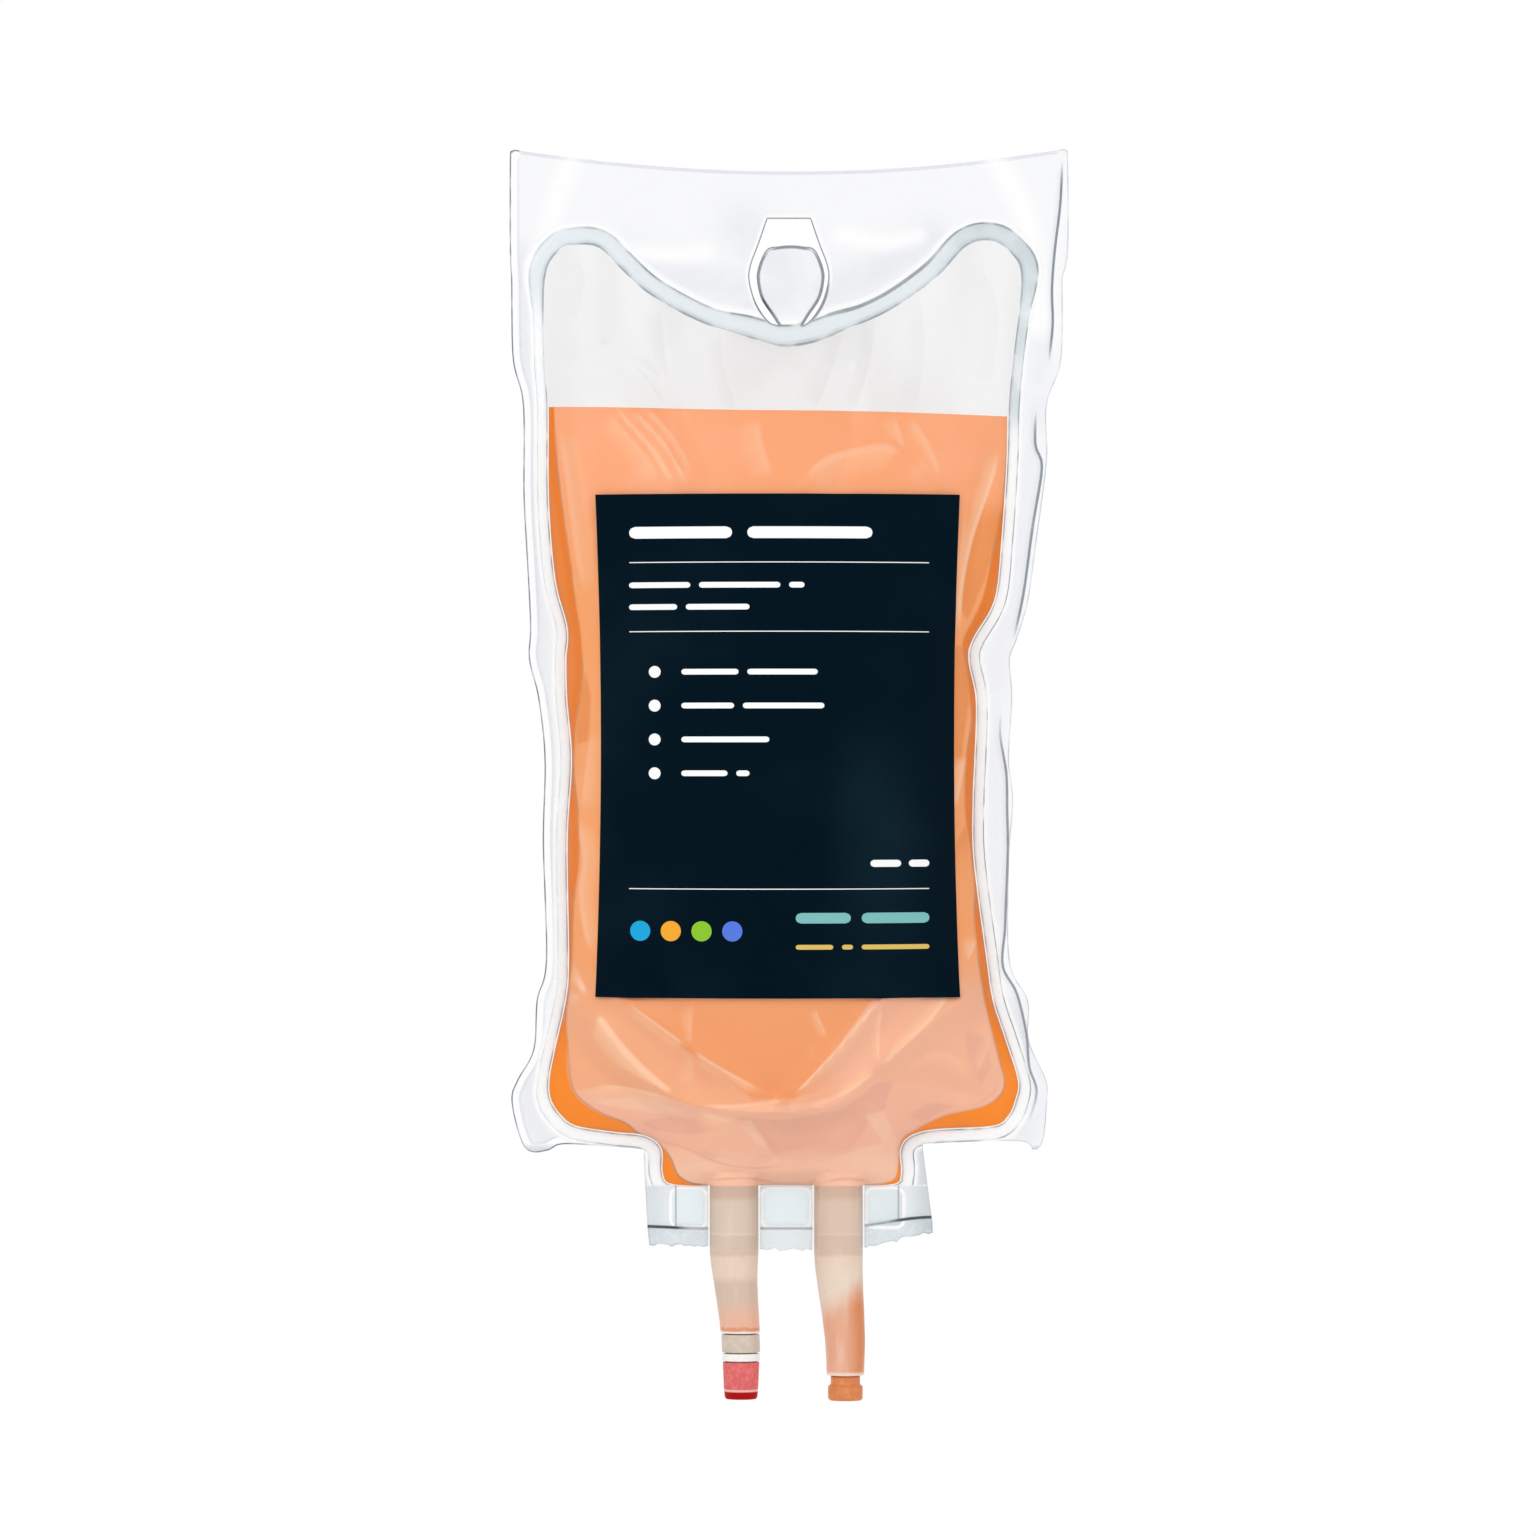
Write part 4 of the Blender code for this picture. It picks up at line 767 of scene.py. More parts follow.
def planPiece(name, part, frontY, rearY, fieldKeys=()):
    # a closed piece between two surfaces over one part of the plan
    used, local = np.unique(part, return_inverse=True)
    local = local.reshape(part.shape)
    mesh = bpy.data.meshes.new(name)
    mesh.from_pydata([(x, 0.0, z) for x, z in plan[used]], [], local.tolist())
    piece = bpy.data.objects.new(name, mesh)
    bpy.context.scene.collection.objects.link(piece)
    choose(piece)
    # any wall will do, since both its faces then move to their own surface
    wall = piece.modifiers.new("wall", "SOLIDIFY")
    wall.thickness, wall.offset = 0.001, -1.0
    bpy.ops.object.modifier_apply(modifier=wall.name)
    places = np.zeros(len(mesh.vertices) * 3)
    mesh.vertices.foreach_get("co", places)
    places = places.reshape(-1, 3)
    places[:, 1] = np.concatenate((frontY[used], rearY[used]))
    mesh.vertices.foreach_set("co", places.ravel())
    for key in fieldKeys:
        made = mesh.attributes.new(key, "FLOAT", "POINT")
        made.data.foreach_set("value", np.tile(fields[key][used], 2).astype(np.float32))
    mesh.update()
    bpy.ops.object.shade_smooth_by_angle(angle=film["smoothing"])
    return piece


# Marks that light draws on the folded film and the fluid, in millimetres: lines as (points, half width,
# strength), whose soft side is on the right of their run, and zones as their corners
marks = {
    "panel": ((-54.4, -32.0), (-54.0, -42.0), (-53.5, -54.0), (-52.6, -62.6), (-51.4, -71.1), (-50.1, -79.6),
              (-49.0, -88.1), (-47.8, -95.7), (-47.4, -104.0), (-48.2, -110.6), (-48.9, -115.7),
              (-49.3, -122.5), (-49.5, -127.6), (-48.3, -138.7), (-48.3, -148.9), (-49.6, -158.3),
              (-49.8, -170.2), (-50.8, -178.7), (-51.2, -183.2), (-50.7, -191.7), (-49.5, -200.2),
              (-44.3, -204.9), (-37.5, -207.9), (-34.8, -210.2), (-29.3, -213.2), (-27.0, -216.4),
              (-25.2, -220.2), (-19.7, -222.3), (0.0, -224.0), (17.3, -222.5), (23.7, -221.2), (25.0, -218.9),
              (25.8, -212.1), (28.8, -209.6), (35.6, -206.2), (45.8, -203.6), (49.6, -199.4), (48.2, -192.6),
              (45.7, -183.2), (44.4, -176.0), (43.6, -170.2), (42.7, -161.7), (42.7, -153.2), (41.9, -146.4),
              (40.5, -136.2), (40.7, -125.1), (42.0, -115.7), (41.6, -110.6), (40.9, -104.0), (39.9, -98.3),
              (40.5, -95.7), (44.2, -88.1), (46.3, -79.6), (48.0, -71.1), (49.4, -63.4), (50.3, -54.0),
              (50.6, -42.0), (50.9, -32.0)),
    # pale: painted highlights along the creases over the liquid
    "pale": (
        (((-45.2, -96.6), (-46.7, -88.1), (-48.2, -77.9), (-50.7, -59.2), (-53.0, -46.4)), 0.9, 0.42),
        (((-46.4, -95.7), (-47.6, -88.1), (-50.3, -81.3)), 0.45, 0.4),
        (((48.0, -52.3), (46.7, -59.2), (42.0, -72.8), (39.5, -84.7), (38.7, -96.6)), 0.6, 0.85),
        (((-41.8, -45.0), (-37.6, -49.5), (-33.0, -55.0), (-30.0, -61.0)), 0.9, 0.4),
        (((-39.9, -43.5), (-35.3, -49.0), (-30.6, -54.5), (-26.2, -61.6)), 0.8, 0.6),
        (((-36.0, -44.2), (-30.7, -49.7), (-26.6, -55.2), (-23.6, -61.7)), 0.7, 0.65),
        (((-33.0, -44.0), (-29.0, -48.0), (-25.4, -53.0), (-22.4, -59.0)), 0.6, 0.4),
        (((3.3, -61.7), (7.5, -57.0), (13.5, -54.5), (22.0, -53.2), (28.0, -55.3), (33.9, -60.9)), 1.2, 0.5),
        (((23.6, -45.5), (26.2, -53.2), (30.6, -60.3)), 0.8, 0.45),
        (((27.6, -46.4), (32.0, -53.2), (34.6, -60.3)), 0.8, 0.4),
        (((-7.8, -46.4), (-6.9, -52.3), (-4.4, -60.0)), 1.1, 0.4),
        (((-43.7, -169.3), (-46.1, -165.1), (-47.6, -154.9), (-46.7, -146.4), (-49.0, -136.2)), 0.8, 0.55),
        (((-47.3, -136.2), (-46.1, -125.9), (-44.8, -117.4)), 0.6, 0.4),
        (((40.3, -123.4), (38.0, -135.3)), 0.6, 0.7),
        (((43.3, -165.1), (40.9, -170.2), (39.0, -177.8)), 0.6, 0.8),
        (((-50.2, -170.0), (-47.4, -177.0), (-43.0, -184.0), (-36.6, -192.0), (-28.6, -199.4),
          (-22.4, -203.4), (-16.0, -206.2), (-8.6, -207.9)), 0.95, 1.2),
        (((-50.3, -178.1), (-47.3, -179.4), (-44.6, -182.1)), 0.5, 0.7),
        (((-38.4, -178.9), (-29.0, -185.7), (-18.0, -193.4), (-5.2, -200.6)), 0.5, 0.7),
        (((40.4, -171.1), (33.9, -181.5), (25.4, -190.0), (17.6, -197.0), (10.4, -201.4), (1.2, -204.2)), 0.5,
          1.1),
        (((21.2, -178.5), (20.4, -185.7), (20.3, -195.2)), 0.4, 0.8),
        (((-1.4, -203.6), (11.0, -190.4), (21.8, -177.6)), 0.4, 0.9),
        (((-48.6, -200.6), (-40.9, -199.4), (-32.4, -200.6), (-18.8, -203.4), (-5.2, -202.7), (9.4, -200.2)),
          0.5, 0.8),
        (((-22.2, -179.6), (-22.7, -187.4), (-22.2, -198.5)), 0.6, 0.4),
        (((5.7, -181.2), (8.4, -187.4)), 0.4, 0.5),
        (((45.0, -184.0), (45.6, -190.0), (42.6, -196.4)), 0.5, 0.5),
        (((26.0, -196.0), (30.2, -192.6), (36.4, -192.0), (41.6, -196.6)), 0.5, 0.4),
    ),
    # dry: painted shade beside the creases in the headspace
    "dry": (
        (((-28.2, -44.2), (-32.4, -37.4), (-38.4, -31.4), (-46.1, -27.2)), 0.7, 0.8),
        (((-25.6, -44.2), (-28.0, -38.5), (-33.7, -33.4), (-40.9, -30.6)), 0.6, 0.6),
        (((12.7, -24.8), (10.1, -34.0), (5.8, -44.2)), 1.2, 0.8),
        (((19.5, -23.1), (18.6, -32.3), (15.2, -44.2)), 1.0, 0.9),
        (((-29.6, -19.7), (-28.8, -30.6), (-26.5, -44.2)), 1.0, 0.7),
        (((-16.0, -26.0), (-15.0, -34.0), (-12.0, -44.0)), 0.9, 0.6),
        (((30.0, -17.0), (31.0, -30.0), (29.0, -44.0)), 1.2, 0.6),
        (((44.0, -10.0), (48.0, -22.0), (46.0, -40.0)), 1.2, 0.5),
        (((-50.0, -8.0), (-47.0, -13.0), (-49.0, -24.0)), 0.8, 0.5),
    ),
    "warm": (
        ((-48.0, -162.0), (34.0, -162.0), (20.6, -180.6), (1.6, -201.6), (-8.0, -202.0), (-38.4, -179.8)),
        ((41.3, -65.3), (49.4, -64.1), (48.4, -70.8), (45.1, -82.7), (40.9, -92.5), (39.5, -90.1),
         (39.9, -78.3)),
        ((38.4, -98.0), (41.2, -99.0), (41.4, -110.0), (39.6, -124.0), (37.0, -128.0), (36.0, -110.0)),
        ((37.0, -146.0), (40.6, -139.0), (41.6, -150.0), (40.0, -160.0), (37.0, -164.0)),
        ((-49.0, -112.0), (-46.6, -104.0), (-45.4, -110.0), (-46.0, -120.0), (-48.6, -121.0)),
    ),
    "salmon": (
        ((-52.2, -178.0), (-46.3, -181.5), (-38.4, -190.5), (-31.0, -198.0), (-30.6, -201.2), (-42.6, -200.0),
         (-51.0, -200.8)),
        ((27.0, -168.0), (50.4, -162.0), (52.7, -199.4), (46.8, -206.0), (33.6, -208.2), (-2.0, -204.8),
         (2.6, -201.6)),
    ),
    "rose": (
        ((-52.0, -200.6), (-40.7, -199.6), (-30.7, -200.9), (-18.8, -204.0), (-5.2, -203.6), (9.4, -201.4),
         (20.0, -197.0), (30.0, -199.0), (42.0, -201.4), (50.0, -203.0), (38.0, -210.0), (26.8, -213.1),
         (27.7, -226.6), (-29.7, -226.3), (-30.5, -214.6), (-40.9, -209.0)),
    ),
    "dusk": (
        ((-12.4, -205.8), (-1.1, -206.6), (8.1, -204.9), (14.9, -204.0), (18.3, -207.4), (13.6, -214.4),
         (6.4, -216.9), (-3.5, -215.9), (-9.6, -218.1), (-6.9, -214.7), (-3.2, -215.1)),
        ((-35.0, -207.4), (-26.6, -206.2), (-19.1, -206.8), (-15.7, -208.8), (-22.2, -210.4),
         (-30.7, -209.4)),
        ((12.7, -203.8), (19.6, -198.5), (23.9, -197.7), (21.2, -206.3), (16.1, -206.2)),
        ((40.0, -186.0), (44.6, -188.0), (46.6, -195.0), (44.0, -199.0), (41.0, -193.0)),
        ((27.0, -206.0), (33.0, -203.0), (38.0, -203.6), (31.0, -207.4)),
        ((-20.0, -213.6), (-9.0, -217.4), (-12.0, -219.0), (-20.6, -216.0)),
    ),
    "light": (
        ((-11.6, -207.1), (-8.9, -206.4), (-3.6, -214.6), (-7.2, -212.4)),
        ((17.5, -205.6), (21.6, -204.6), (25.2, -213.0), (21.6, -212.0)),
        ((-25.8, -218.1), (-15.0, -215.4), (-6.9, -218.9), (-7.8, -221.3), (-25.1, -222.2)),
        ((5.4, -218.7), (16.0, -213.6), (24.7, -211.6), (24.6, -219.1), (17.8, -221.3), (6.2, -221.2)),
        ((-45.9, -202.6), (-34.0, -201.4), (-22.2, -205.2), (-31.0, -205.4), (-40.0, -204.0)),
    ),
    "shadow": (
        (((-18.8, -221.0), (-10.0, -220.4), (-1.8, -221.8), (4.8, -221.4)), 0.42, 0.9),
        (((8.5, -221.2), (13.0, -220.5), (18.9, -221.4)), 0.5, 0.9),
        (((-35.8, -207.9), (-30.0, -211.6), (-23.9, -213.4), (-16.0, -216.8), (-8.0, -218.0), (0.0, -217.2)),
          0.4, 0.7),
        (((35.2, -205.7), (42.4, -203.9), (46.6, -201.0), (48.6, -197.4)), 0.4, 0.6),
        (((-38.6, -207.4), (-46.0, -204.0), (-50.0, -199.4), (-51.2, -190.0)), 0.35, 0.5),
    ),
    # outline: grey lines of painted shade inside the flange's edges
    "outline": (
        (((59.7, -34.7), (60.1, -30.6), (60.7, -23.8), (60.5, -16.1), (61.1, -7.6), (62.4, 3.5),
          (62.9, 14.7)), 0.34, 1.0),
        (((51.2, -98.6), (54.0, -86.0), (56.0, -71.1), (58.2, -57.2), (56.7, -51.8), (56.9, -41.9)), 0.36,
          0.95),
        (((53.3, -211.6), (55.7, -206.0), (57.0, -200.4), (55.3, -195.1), (54.6, -187.4), (52.4, -178.1),
          (49.2, -171.9), (49.7, -163.4), (50.0, -154.9), (50.4, -144.7), (50.2, -136.2), (50.0, -127.6),
          (48.6, -118.3), (49.2, -109.6)), 0.34, 0.9),
    ),
    # painted highlights on the flange
    "flangeGlow": (
        (((-40.4, -7.0), (-28.2, -8.3), (-19.0, -7.9)), 2.0, 0.8),
        (((12.7, -3.8), (22.0, -5.5), (29.7, -3.8)), 2.0, 0.8),
        (((-50.0, 13.0), (-54.0, 3.0), (-56.0, -8.0)), 2.6, 0.7),
        (((47.0, 14.0), (53.0, 4.0), (56.0, -9.0), (57.0, -24.0)), 2.6, 0.8),
    ),
    # painted shade on the flange, round the eyelet, at the lower corners and down the sides
    "flangeDusk": (
        (((-38.0, -9.0), (-26.0, -12.6), (-11.0, -16.0)), 5.0, 1.0),
        (((9.0, -17.0), (20.0, -12.0), (32.0, -5.0)), 5.0, 1.2),
        (((-10.5, -2.0), (0.0, -14.0), (-8.0, -20.0)), 6.0, 1.0),
        (((-60.0, -192.0), (-60.0, -204.0), (-56.0, -212.0)), 4.0, 1.1),
        (((52.0, -182.0), (56.0, -198.0), (54.0, -210.0)), 4.0, 1.1),
        (((-62.0, -8.0), (-61.5, -30.0), (-59.6, -60.0), (-58.0, -90.0), (-56.6, -120.0), (-55.8, -150.0),
          (-55.6, -170.0)), 3.0, 1.1),
        (((58.0, -30.0), (57.0, -45.0), (54.0, -70.0), (50.5, -92.0), (47.6, -105.0), (47.6, -130.0),
          (48.0, -160.0)), 3.2, 0.7),
    ),
}

panelEdge = thinned(smoothCurve(millimetres(marks["panel"]), closed=True), laying["lineStep"], closed=True)
fields = {
    "weldBand": beadShare,
    "cutEdge": distanceTo(plan, outline, True) * 1000.0,
    "eyeletEdge": distanceTo(plan, eyelet, True) * 1000.0,
    "padIn": padSigned * 1000.0,
    "humpUp": hump * 1000.0,
    "chamberIn": depth * 1000.0,
    "panelIn": distanceTo(plan, panelEdge, True) * 1000.0 * np.where(insideOf(plan, panelEdge), 1.0, -1.0),
    "flangeGlow": strongest(plan, marks["flangeGlow"]),
    "flangeDusk": strongest(plan, marks["flangeDusk"]),
}
for key in ("pale", "dry", "shadow", "outline"):
    fields[key + "Side"], fields[key + "Show"] = lineFields(plan, marks[key])
for key in ("warm", "salmon", "rose", "dusk", "light"):
    fields[key] = zoneField(plan, marks[key])
filmKeys = ("weldBand", "cutEdge", "eyeletEdge", "padIn", "humpUp", "chamberIn", "paleSide", "paleShow",
            "drySide", "dryShow", "outlineSide", "outlineShow", "flangeGlow", "flangeDusk")
fluidKeys = ("panelIn", "paleSide", "paleShow", "shadowSide", "shadowShow", "warm", "salmon", "rose",
             "dusk", "light")
print("stage: marks laid out")

innerFront = ripple - halfSeam - stands["front"]
innerBack = ripple + halfSeam + stands["back"]
fluidFront, fluidBack = (np.maximum(halfSeam + stands[side] - film["fitGap"], halfSeam)
                         for side in ("front", "back"))
labelY = innerFront - film["thickness"] - film["fitGap"]
frontFilm = planPiece("frontFilm", triangles, innerFront - film["thickness"], innerFront, filmKeys)
backFilm = planPiece("backFilm", triangles, innerBack, innerBack + film["thickness"], filmKeys)
fluid = planPiece("fluid", partOf(triangles, plan, wetLoop), -fluidFront, fluidBack, fluidKeys)
label = planPiece("labelSheet", partOf(triangles, plan, labelEdge), labelY - labelSize["thickness"], labelY)
for piece, node, slot in ((frontFilm, "front_film", "film"), (backFilm, "back_film", "film"),
                          (fluid, "solution", "solution"), (label, "label", "label")):
    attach(piece, "bag")
    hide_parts(node)
    # clear film throws next to no shadow, and the render is much quicker without it
    piece.visible_shadow = slot != "film"
print("stage: film, fluid and label made")


# The label's print: plain bars, dots and coloured tabs that stand in for words, in millimetres
labelPrint = {
    "proud": 0.00005, "ink": 0.00005, "standOff": 0.06,
    "cell": 0.9, "leastCells": 6, "ruleUnder": 1.0, "ruleRows": 2, "barRows": 8,
    # bars as (left, right, middle height, thickness, end rounding)
    "White": (
        (-36.5, -13.0, -72.6, 2.7, 1.35), (-9.5, 19.0, -72.6, 2.7, 1.35), (-36.5, 32.0, -79.4, 0.20, 0.1),
        (-36.5, -22.5, -84.6, 1.3, 0.65), (-20.5, -2.0, -84.6, 1.3, 0.65), (0.0, 3.5, -84.6, 1.3, 0.65),
        (-36.5, -25.5, -89.6, 1.3, 0.65), (-23.5, -9.0, -89.6, 1.3, 0.65), (-36.5, 32.0, -95.2, 0.20, 0.1),
        (-24.5, -11.5, -104.4, 1.3, 0.65), (-9.5, 6.5, -104.4, 1.3, 0.65),
        (-24.5, -12.5, -112.1, 1.3, 0.65), (-10.5, 8.0, -112.1, 1.3, 0.65), (-24.5, -4.5, -119.8, 1.3, 0.65),
        (-24.5, -14.0, -127.5, 1.3, 0.65), (-12.0, -9.0, -127.5, 1.3, 0.65),
        (18.5, 25.5, -148.0, 1.6, 0.8), (27.3, 32.0, -148.0, 1.6, 0.8), (-36.5, 32.0, -153.8, 0.20, 0.1),
    ),
    "Teal": ((1.5, 14.0, -160.4, 2.4, 1.2), (16.5, 32.0, -160.4, 2.4, 1.2)),
    "Gold": ((1.5, 10.0, -167.0, 1.1, 0.55), (12.0, 14.5, -167.0, 1.1, 0.55),
             (16.5, 32.0, -167.0, 1.1, 0.55)),
    # dots and tabs as (across, height, radius)
    "dots": ((-30.6, -104.4, 1.35), (-30.6, -112.1, 1.35), (-30.6, -119.8, 1.35), (-30.6, -127.5, 1.35)),
    "tabs": {"Cyan": (-33.9, -163.4, 2.3), "Amber": (-26.9, -163.4, 2.3), "Leaf": (-19.9, -163.4, 2.3),
             "Iris": (-12.9, -163.4, 2.3)},
}


def plate(left, right, middle, tall, turn):
    # a flat bar of small cells with rounded ends, wrapped onto the label's face
    wide = right - left
    deselect()
    columns = max(labelPrint["leastCells"], int(wide / labelPrint["cell"]))
    rows = labelPrint["ruleRows" if tall < labelPrint["ruleUnder"] else "barRows"]
    bpy.ops.mesh.primitive_grid_add(x_subdivisions=columns, y_subdivisions=rows, size=1.0,
                                    rotation=(pi / 2, 0.0, 0.0))
    piece = bpy.context.object
    piece.scale = (wide * 0.001, tall * 0.001, 1.0)
    piece.location = ((left + right) * 0.0005, -labelPrint["standOff"], middle * 0.001)
    bpy.ops.object.transform_apply(location=True, rotation=True, scale=True)
    turn = min(turn, tall / 2) * 0.001
    half, centre = wide * 0.0005, (left + right) * 0.0005
    for vert in piece.data.vertices:
        over = min(max(abs(vert.co.z - middle * 0.001) - (tall * 0.0005 - turn), 0.0), turn)
        drawn = turn - (turn ** 2 - over ** 2) ** 0.5
        vert.co.x = centre + (vert.co.x - centre) * (half - drawn) / half
    return piece


def disc(x, z, radius):
    deselect()
    bpy.ops.mesh.primitive_circle_add(
        vertices=32, radius=radius * 0.001, fill_type="TRIFAN", rotation=(pi / 2, 0.0, 0.0),
        location=(x * 0.001, -labelPrint["standOff"], z * 0.001))
    piece = bpy.context.object
    bpy.ops.object.transform_apply(location=True, rotation=True, scale=True)
    return piece


def printed(colour, parts):
    # join one colour's marks, lay them on the label and give the ink its thickness
    deselect()
    for part in parts:
        part.select_set(True)
    bpy.context.view_layer.objects.active = parts[0]
    if len(parts) > 1:
        bpy.ops.object.join()
    piece = bpy.context.object
    piece.name = piece.data.name = "labelPrint" + colour
    wrap = piece.modifiers.new("onLabel", "SHRINKWRAP")
    wrap.target, wrap.wrap_method, wrap.offset = label, "PROJECT", labelPrint["proud"]
    wrap.use_project_x, wrap.use_project_y, wrap.use_project_z = False, True, False
    wrap.use_negative_direction, wrap.use_positive_direction = False, True
    bpy.ops.object.modifier_apply(modifier=wrap.name)
    ink = piece.modifiers.new("ink", "SOLIDIFY")
    ink.thickness, ink.offset = labelPrint["ink"], 1.0
    bpy.ops.object.modifier_apply(modifier=ink.name)
    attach(piece, "bag")
    return piece


printParts = {colour: [plate(*bar) for bar in labelPrint[colour]] for colour in ("White", "Teal", "Gold")}
printParts["White"] += [disc(*dot) for dot in labelPrint["dots"]]
printParts.update({colour: [disc(*tab)] for colour, tab in labelPrint["tabs"].items()})
inks = {colour: printed(colour, parts) for colour, parts in printParts.items()}
print("stage: label printed")


# The ports: profiles as (radius, height below the eyelet's top edge), in millimetres
profiles = {
    "injectionTube": ((4.6, -222.0), (5.6, -222.0), (5.6, -231.0), (5.6, -237.7), (5.35, -240.8),
                      (5.02, -244.5), (4.8, -248.5), (4.62, -252.5), (4.5, -256.2), (3.5, -256.2),
                      (3.5, -249.5), (4.6, -237.7)),
    "injectionBody": ((2.3, -250.1), (3.2, -250.1), (3.2, -256.5), (4.4, -256.5), (4.4, -260.6),
                      (3.2, -260.6), (3.2, -268.9), (2.3, -268.9)),
    "injectionRing": ((3.5, -260.9), (4.3, -260.9), (4.3, -262.6), (3.5, -262.6)),
    "injectionStopper": ((3.5, -262.9), (4.2, -262.9), (4.06, -266.2), (3.94, -269.0), (3.82, -269.3),
                         (3.9, -269.6), (3.72, -271.0), (3.4, -271.4)),
    "outletTube": ((4.6, -222.0), (5.6, -222.0), (5.6, -231.0), (5.6, -237.7), (5.45, -241.5), (5.15, -247.0),
                   (4.9, -251.6), (4.6, -258.0), (4.4, -262.5), (4.3, -265.9), (3.5, -265.9), (3.5, -254.1),
                   (4.0, -254.1), (4.0, -251.1), (4.6, -237.7)),
    "outletCap": ((2.8, -260.8), (3.2, -261.2), (3.2, -266.2), (3.4, -266.2), (3.36, -267.2), (3.4, -268.0),
                  (3.95, -268.4), (4.0, -269.0), (4.0, -271.2), (3.6, -271.7)),
}


def turned(name, centre, closed, bevel):
    # a circle at the first point, extruded and scaled from point to point of the profile
    deselect()
    points = [(radius * 0.001, height * 0.001) for radius, height in profiles[name]]
    bpy.ops.mesh.primitive_circle_add(vertices=ports["sides"], radius=points[0][0], fill_type="NOTHING",
                                      location=(centre, 0.0, points[0][1]))
    piece = bpy.context.object
    piece.name = piece.data.name = name
    bpy.ops.object.mode_set(mode="EDIT")
    bpy.ops.mesh.select_all(action="SELECT")
    for (radius, height), (nextRadius, nextHeight) in zip(points, points[1:]):
        bpy.ops.mesh.extrude_edges_move(TRANSFORM_OT_translate={"value": (0.0, 0.0, nextHeight - height)})
        if nextRadius != radius:
            share = nextRadius / radius
            bpy.ops.transform.resize(value=(share, share, 1.0), center_override=(centre, 0.0, nextHeight))
    bpy.ops.mesh.select_all(action="DESELECT")
    bpy.ops.mesh.select_non_manifold()
    if closed:
        bpy.ops.mesh.bridge_edge_loops()
    else:
        bpy.ops.mesh.fill_holes(sides=0)
    bpy.ops.mesh.select_all(action="SELECT")
    bpy.ops.mesh.normals_make_consistent(inside=False)
    bpy.ops.object.mode_set(mode="OBJECT")
    bpy.ops.object.transform_apply(location=True, rotation=True, scale=True)
    edge = piece.modifiers.new("edge", "BEVEL")
    edge.width, edge.segments, edge.limit_method, edge.angle_limit = bevel, 3, "ANGLE", ports["bevelFrom"]
    bpy.ops.object.modifier_apply(modifier=edge.name)
    for vert in piece.data.vertices:
        drop = min(max((straightEnd - vert.co.z) / ports["leanLength"], 0.0), 1.0)
        vert.co.x += ports["lean"] * drop * drop * (3.0 - 2.0 * drop)
    bpy.ops.object.shade_smooth_by_angle(angle=ports["smoothing"])
    return piece


portPieces = {}
for name, side, closed, bevel, node, slot, body in (
        ("injectionTube", 0, True, 0.00018, "injection_port_tube", "port_tube", "bag"),
        ("injectionBody", 0, True, 0.00018, "injection_site_body", "site_body", "bag"),
        ("injectionRing", 0, True, 0.00018, "injection_site_ring", "site_ring", "bag"),
        ("injectionStopper", 0, False, 0.0001, "injection_site_stopper", "stopper_rubber", "bag"),
        ("outletTube", 1, True, 0.00018, "outlet_port_tube", "port_tube", "bag"),
        ("outletCap", 1, False, 0.0002, "outlet_port_cap", "cap", "outlet_cap")):
    piece = turned(name, portCentres[side], closed, bevel)
    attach(piece, body)
    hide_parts(node)
    portPieces[name] = piece
print("stage: ports made")


# Finishes. Film: nearly clear and a little lavender, white in the weld bead and the neck's pads
filmLook = {
    "clear": (0.55, 0.58, 0.68), "dry": (0.56, 0.565, 0.59), "white": (1.0, 1.0, 1.0),
    "grey": (0.24, 0.28, 0.31), "dark": (0.045, 0.060, 0.075), "bead": (0.785, 0.840, 0.868),
    "beadShade": (0.53, 0.61, 0.64),
    "pad": (0.765, 0.865, 0.905), "strip": (0.73, 0.80, 0.83), "stripEnd": (0.47, 0.54, 0.57),
    "hem": (0.72, 0.79, 0.82),
    # how solid the clear film is, and what its marks add
    "alpha": 0.039, "duskAlpha": 0.054, "tongueAlpha": 0.022, "glowAlpha": 0.024, "gapAlpha": 0.05,
    "lineAlpha": 0.045, "dryAlpha": 0.064, "streakAlpha": 0.036, "creaseAlpha": 0.035,
    "middleAlpha": 0.016, "wetAlpha": 0.014, "paleAlpha": 0.03, "facingAlpha": 0.14,
}
# Where the film's tones change, as (from, to) in metres
filmPlaces = {
    "upper": (-0.054, -0.042), "leftSide": (-0.042, -0.050), "rightSide": (0.030, 0.044),
    "slopeFrom": (0.006, 0.014), "slopeTo": (0.040, 0.030), "topZone": (0.0075, 0.0100),
    "topEnds": (0.0626, 0.0612), "ledgeRight": (0.010, 0.033), "ledgeLeft": (-0.020, -0.034),
    "ledgeLift": 0.0005, "ends": (0.0225, 0.0262), "seam": 0.0260, "seamLean": 0.0008,
    "tongueMiddle": -0.0154, "tongueHalf": 0.0084, "tongueTall": 0.0092,
    "darkAcross": (-0.003, -0.005), "darkHeight": (-0.0165, -0.0195), "besideNeck": (-0.2124, -0.2140),
    "stripRight": (0.0265, 0.0325), "stripLeft": (-0.0265, -0.0325), "hemEnds": (0.024, 0.032),
    "hemFuller": (0.012, 0.024), "padEnd": (0.014, 0.032), "whiterSides": (0.030, 0.045),
    "whiterBelow": (-0.012, -0.026), "whiterFoot": (-0.050, -0.070), "dryMiddle": (0.034, 0.012),
}


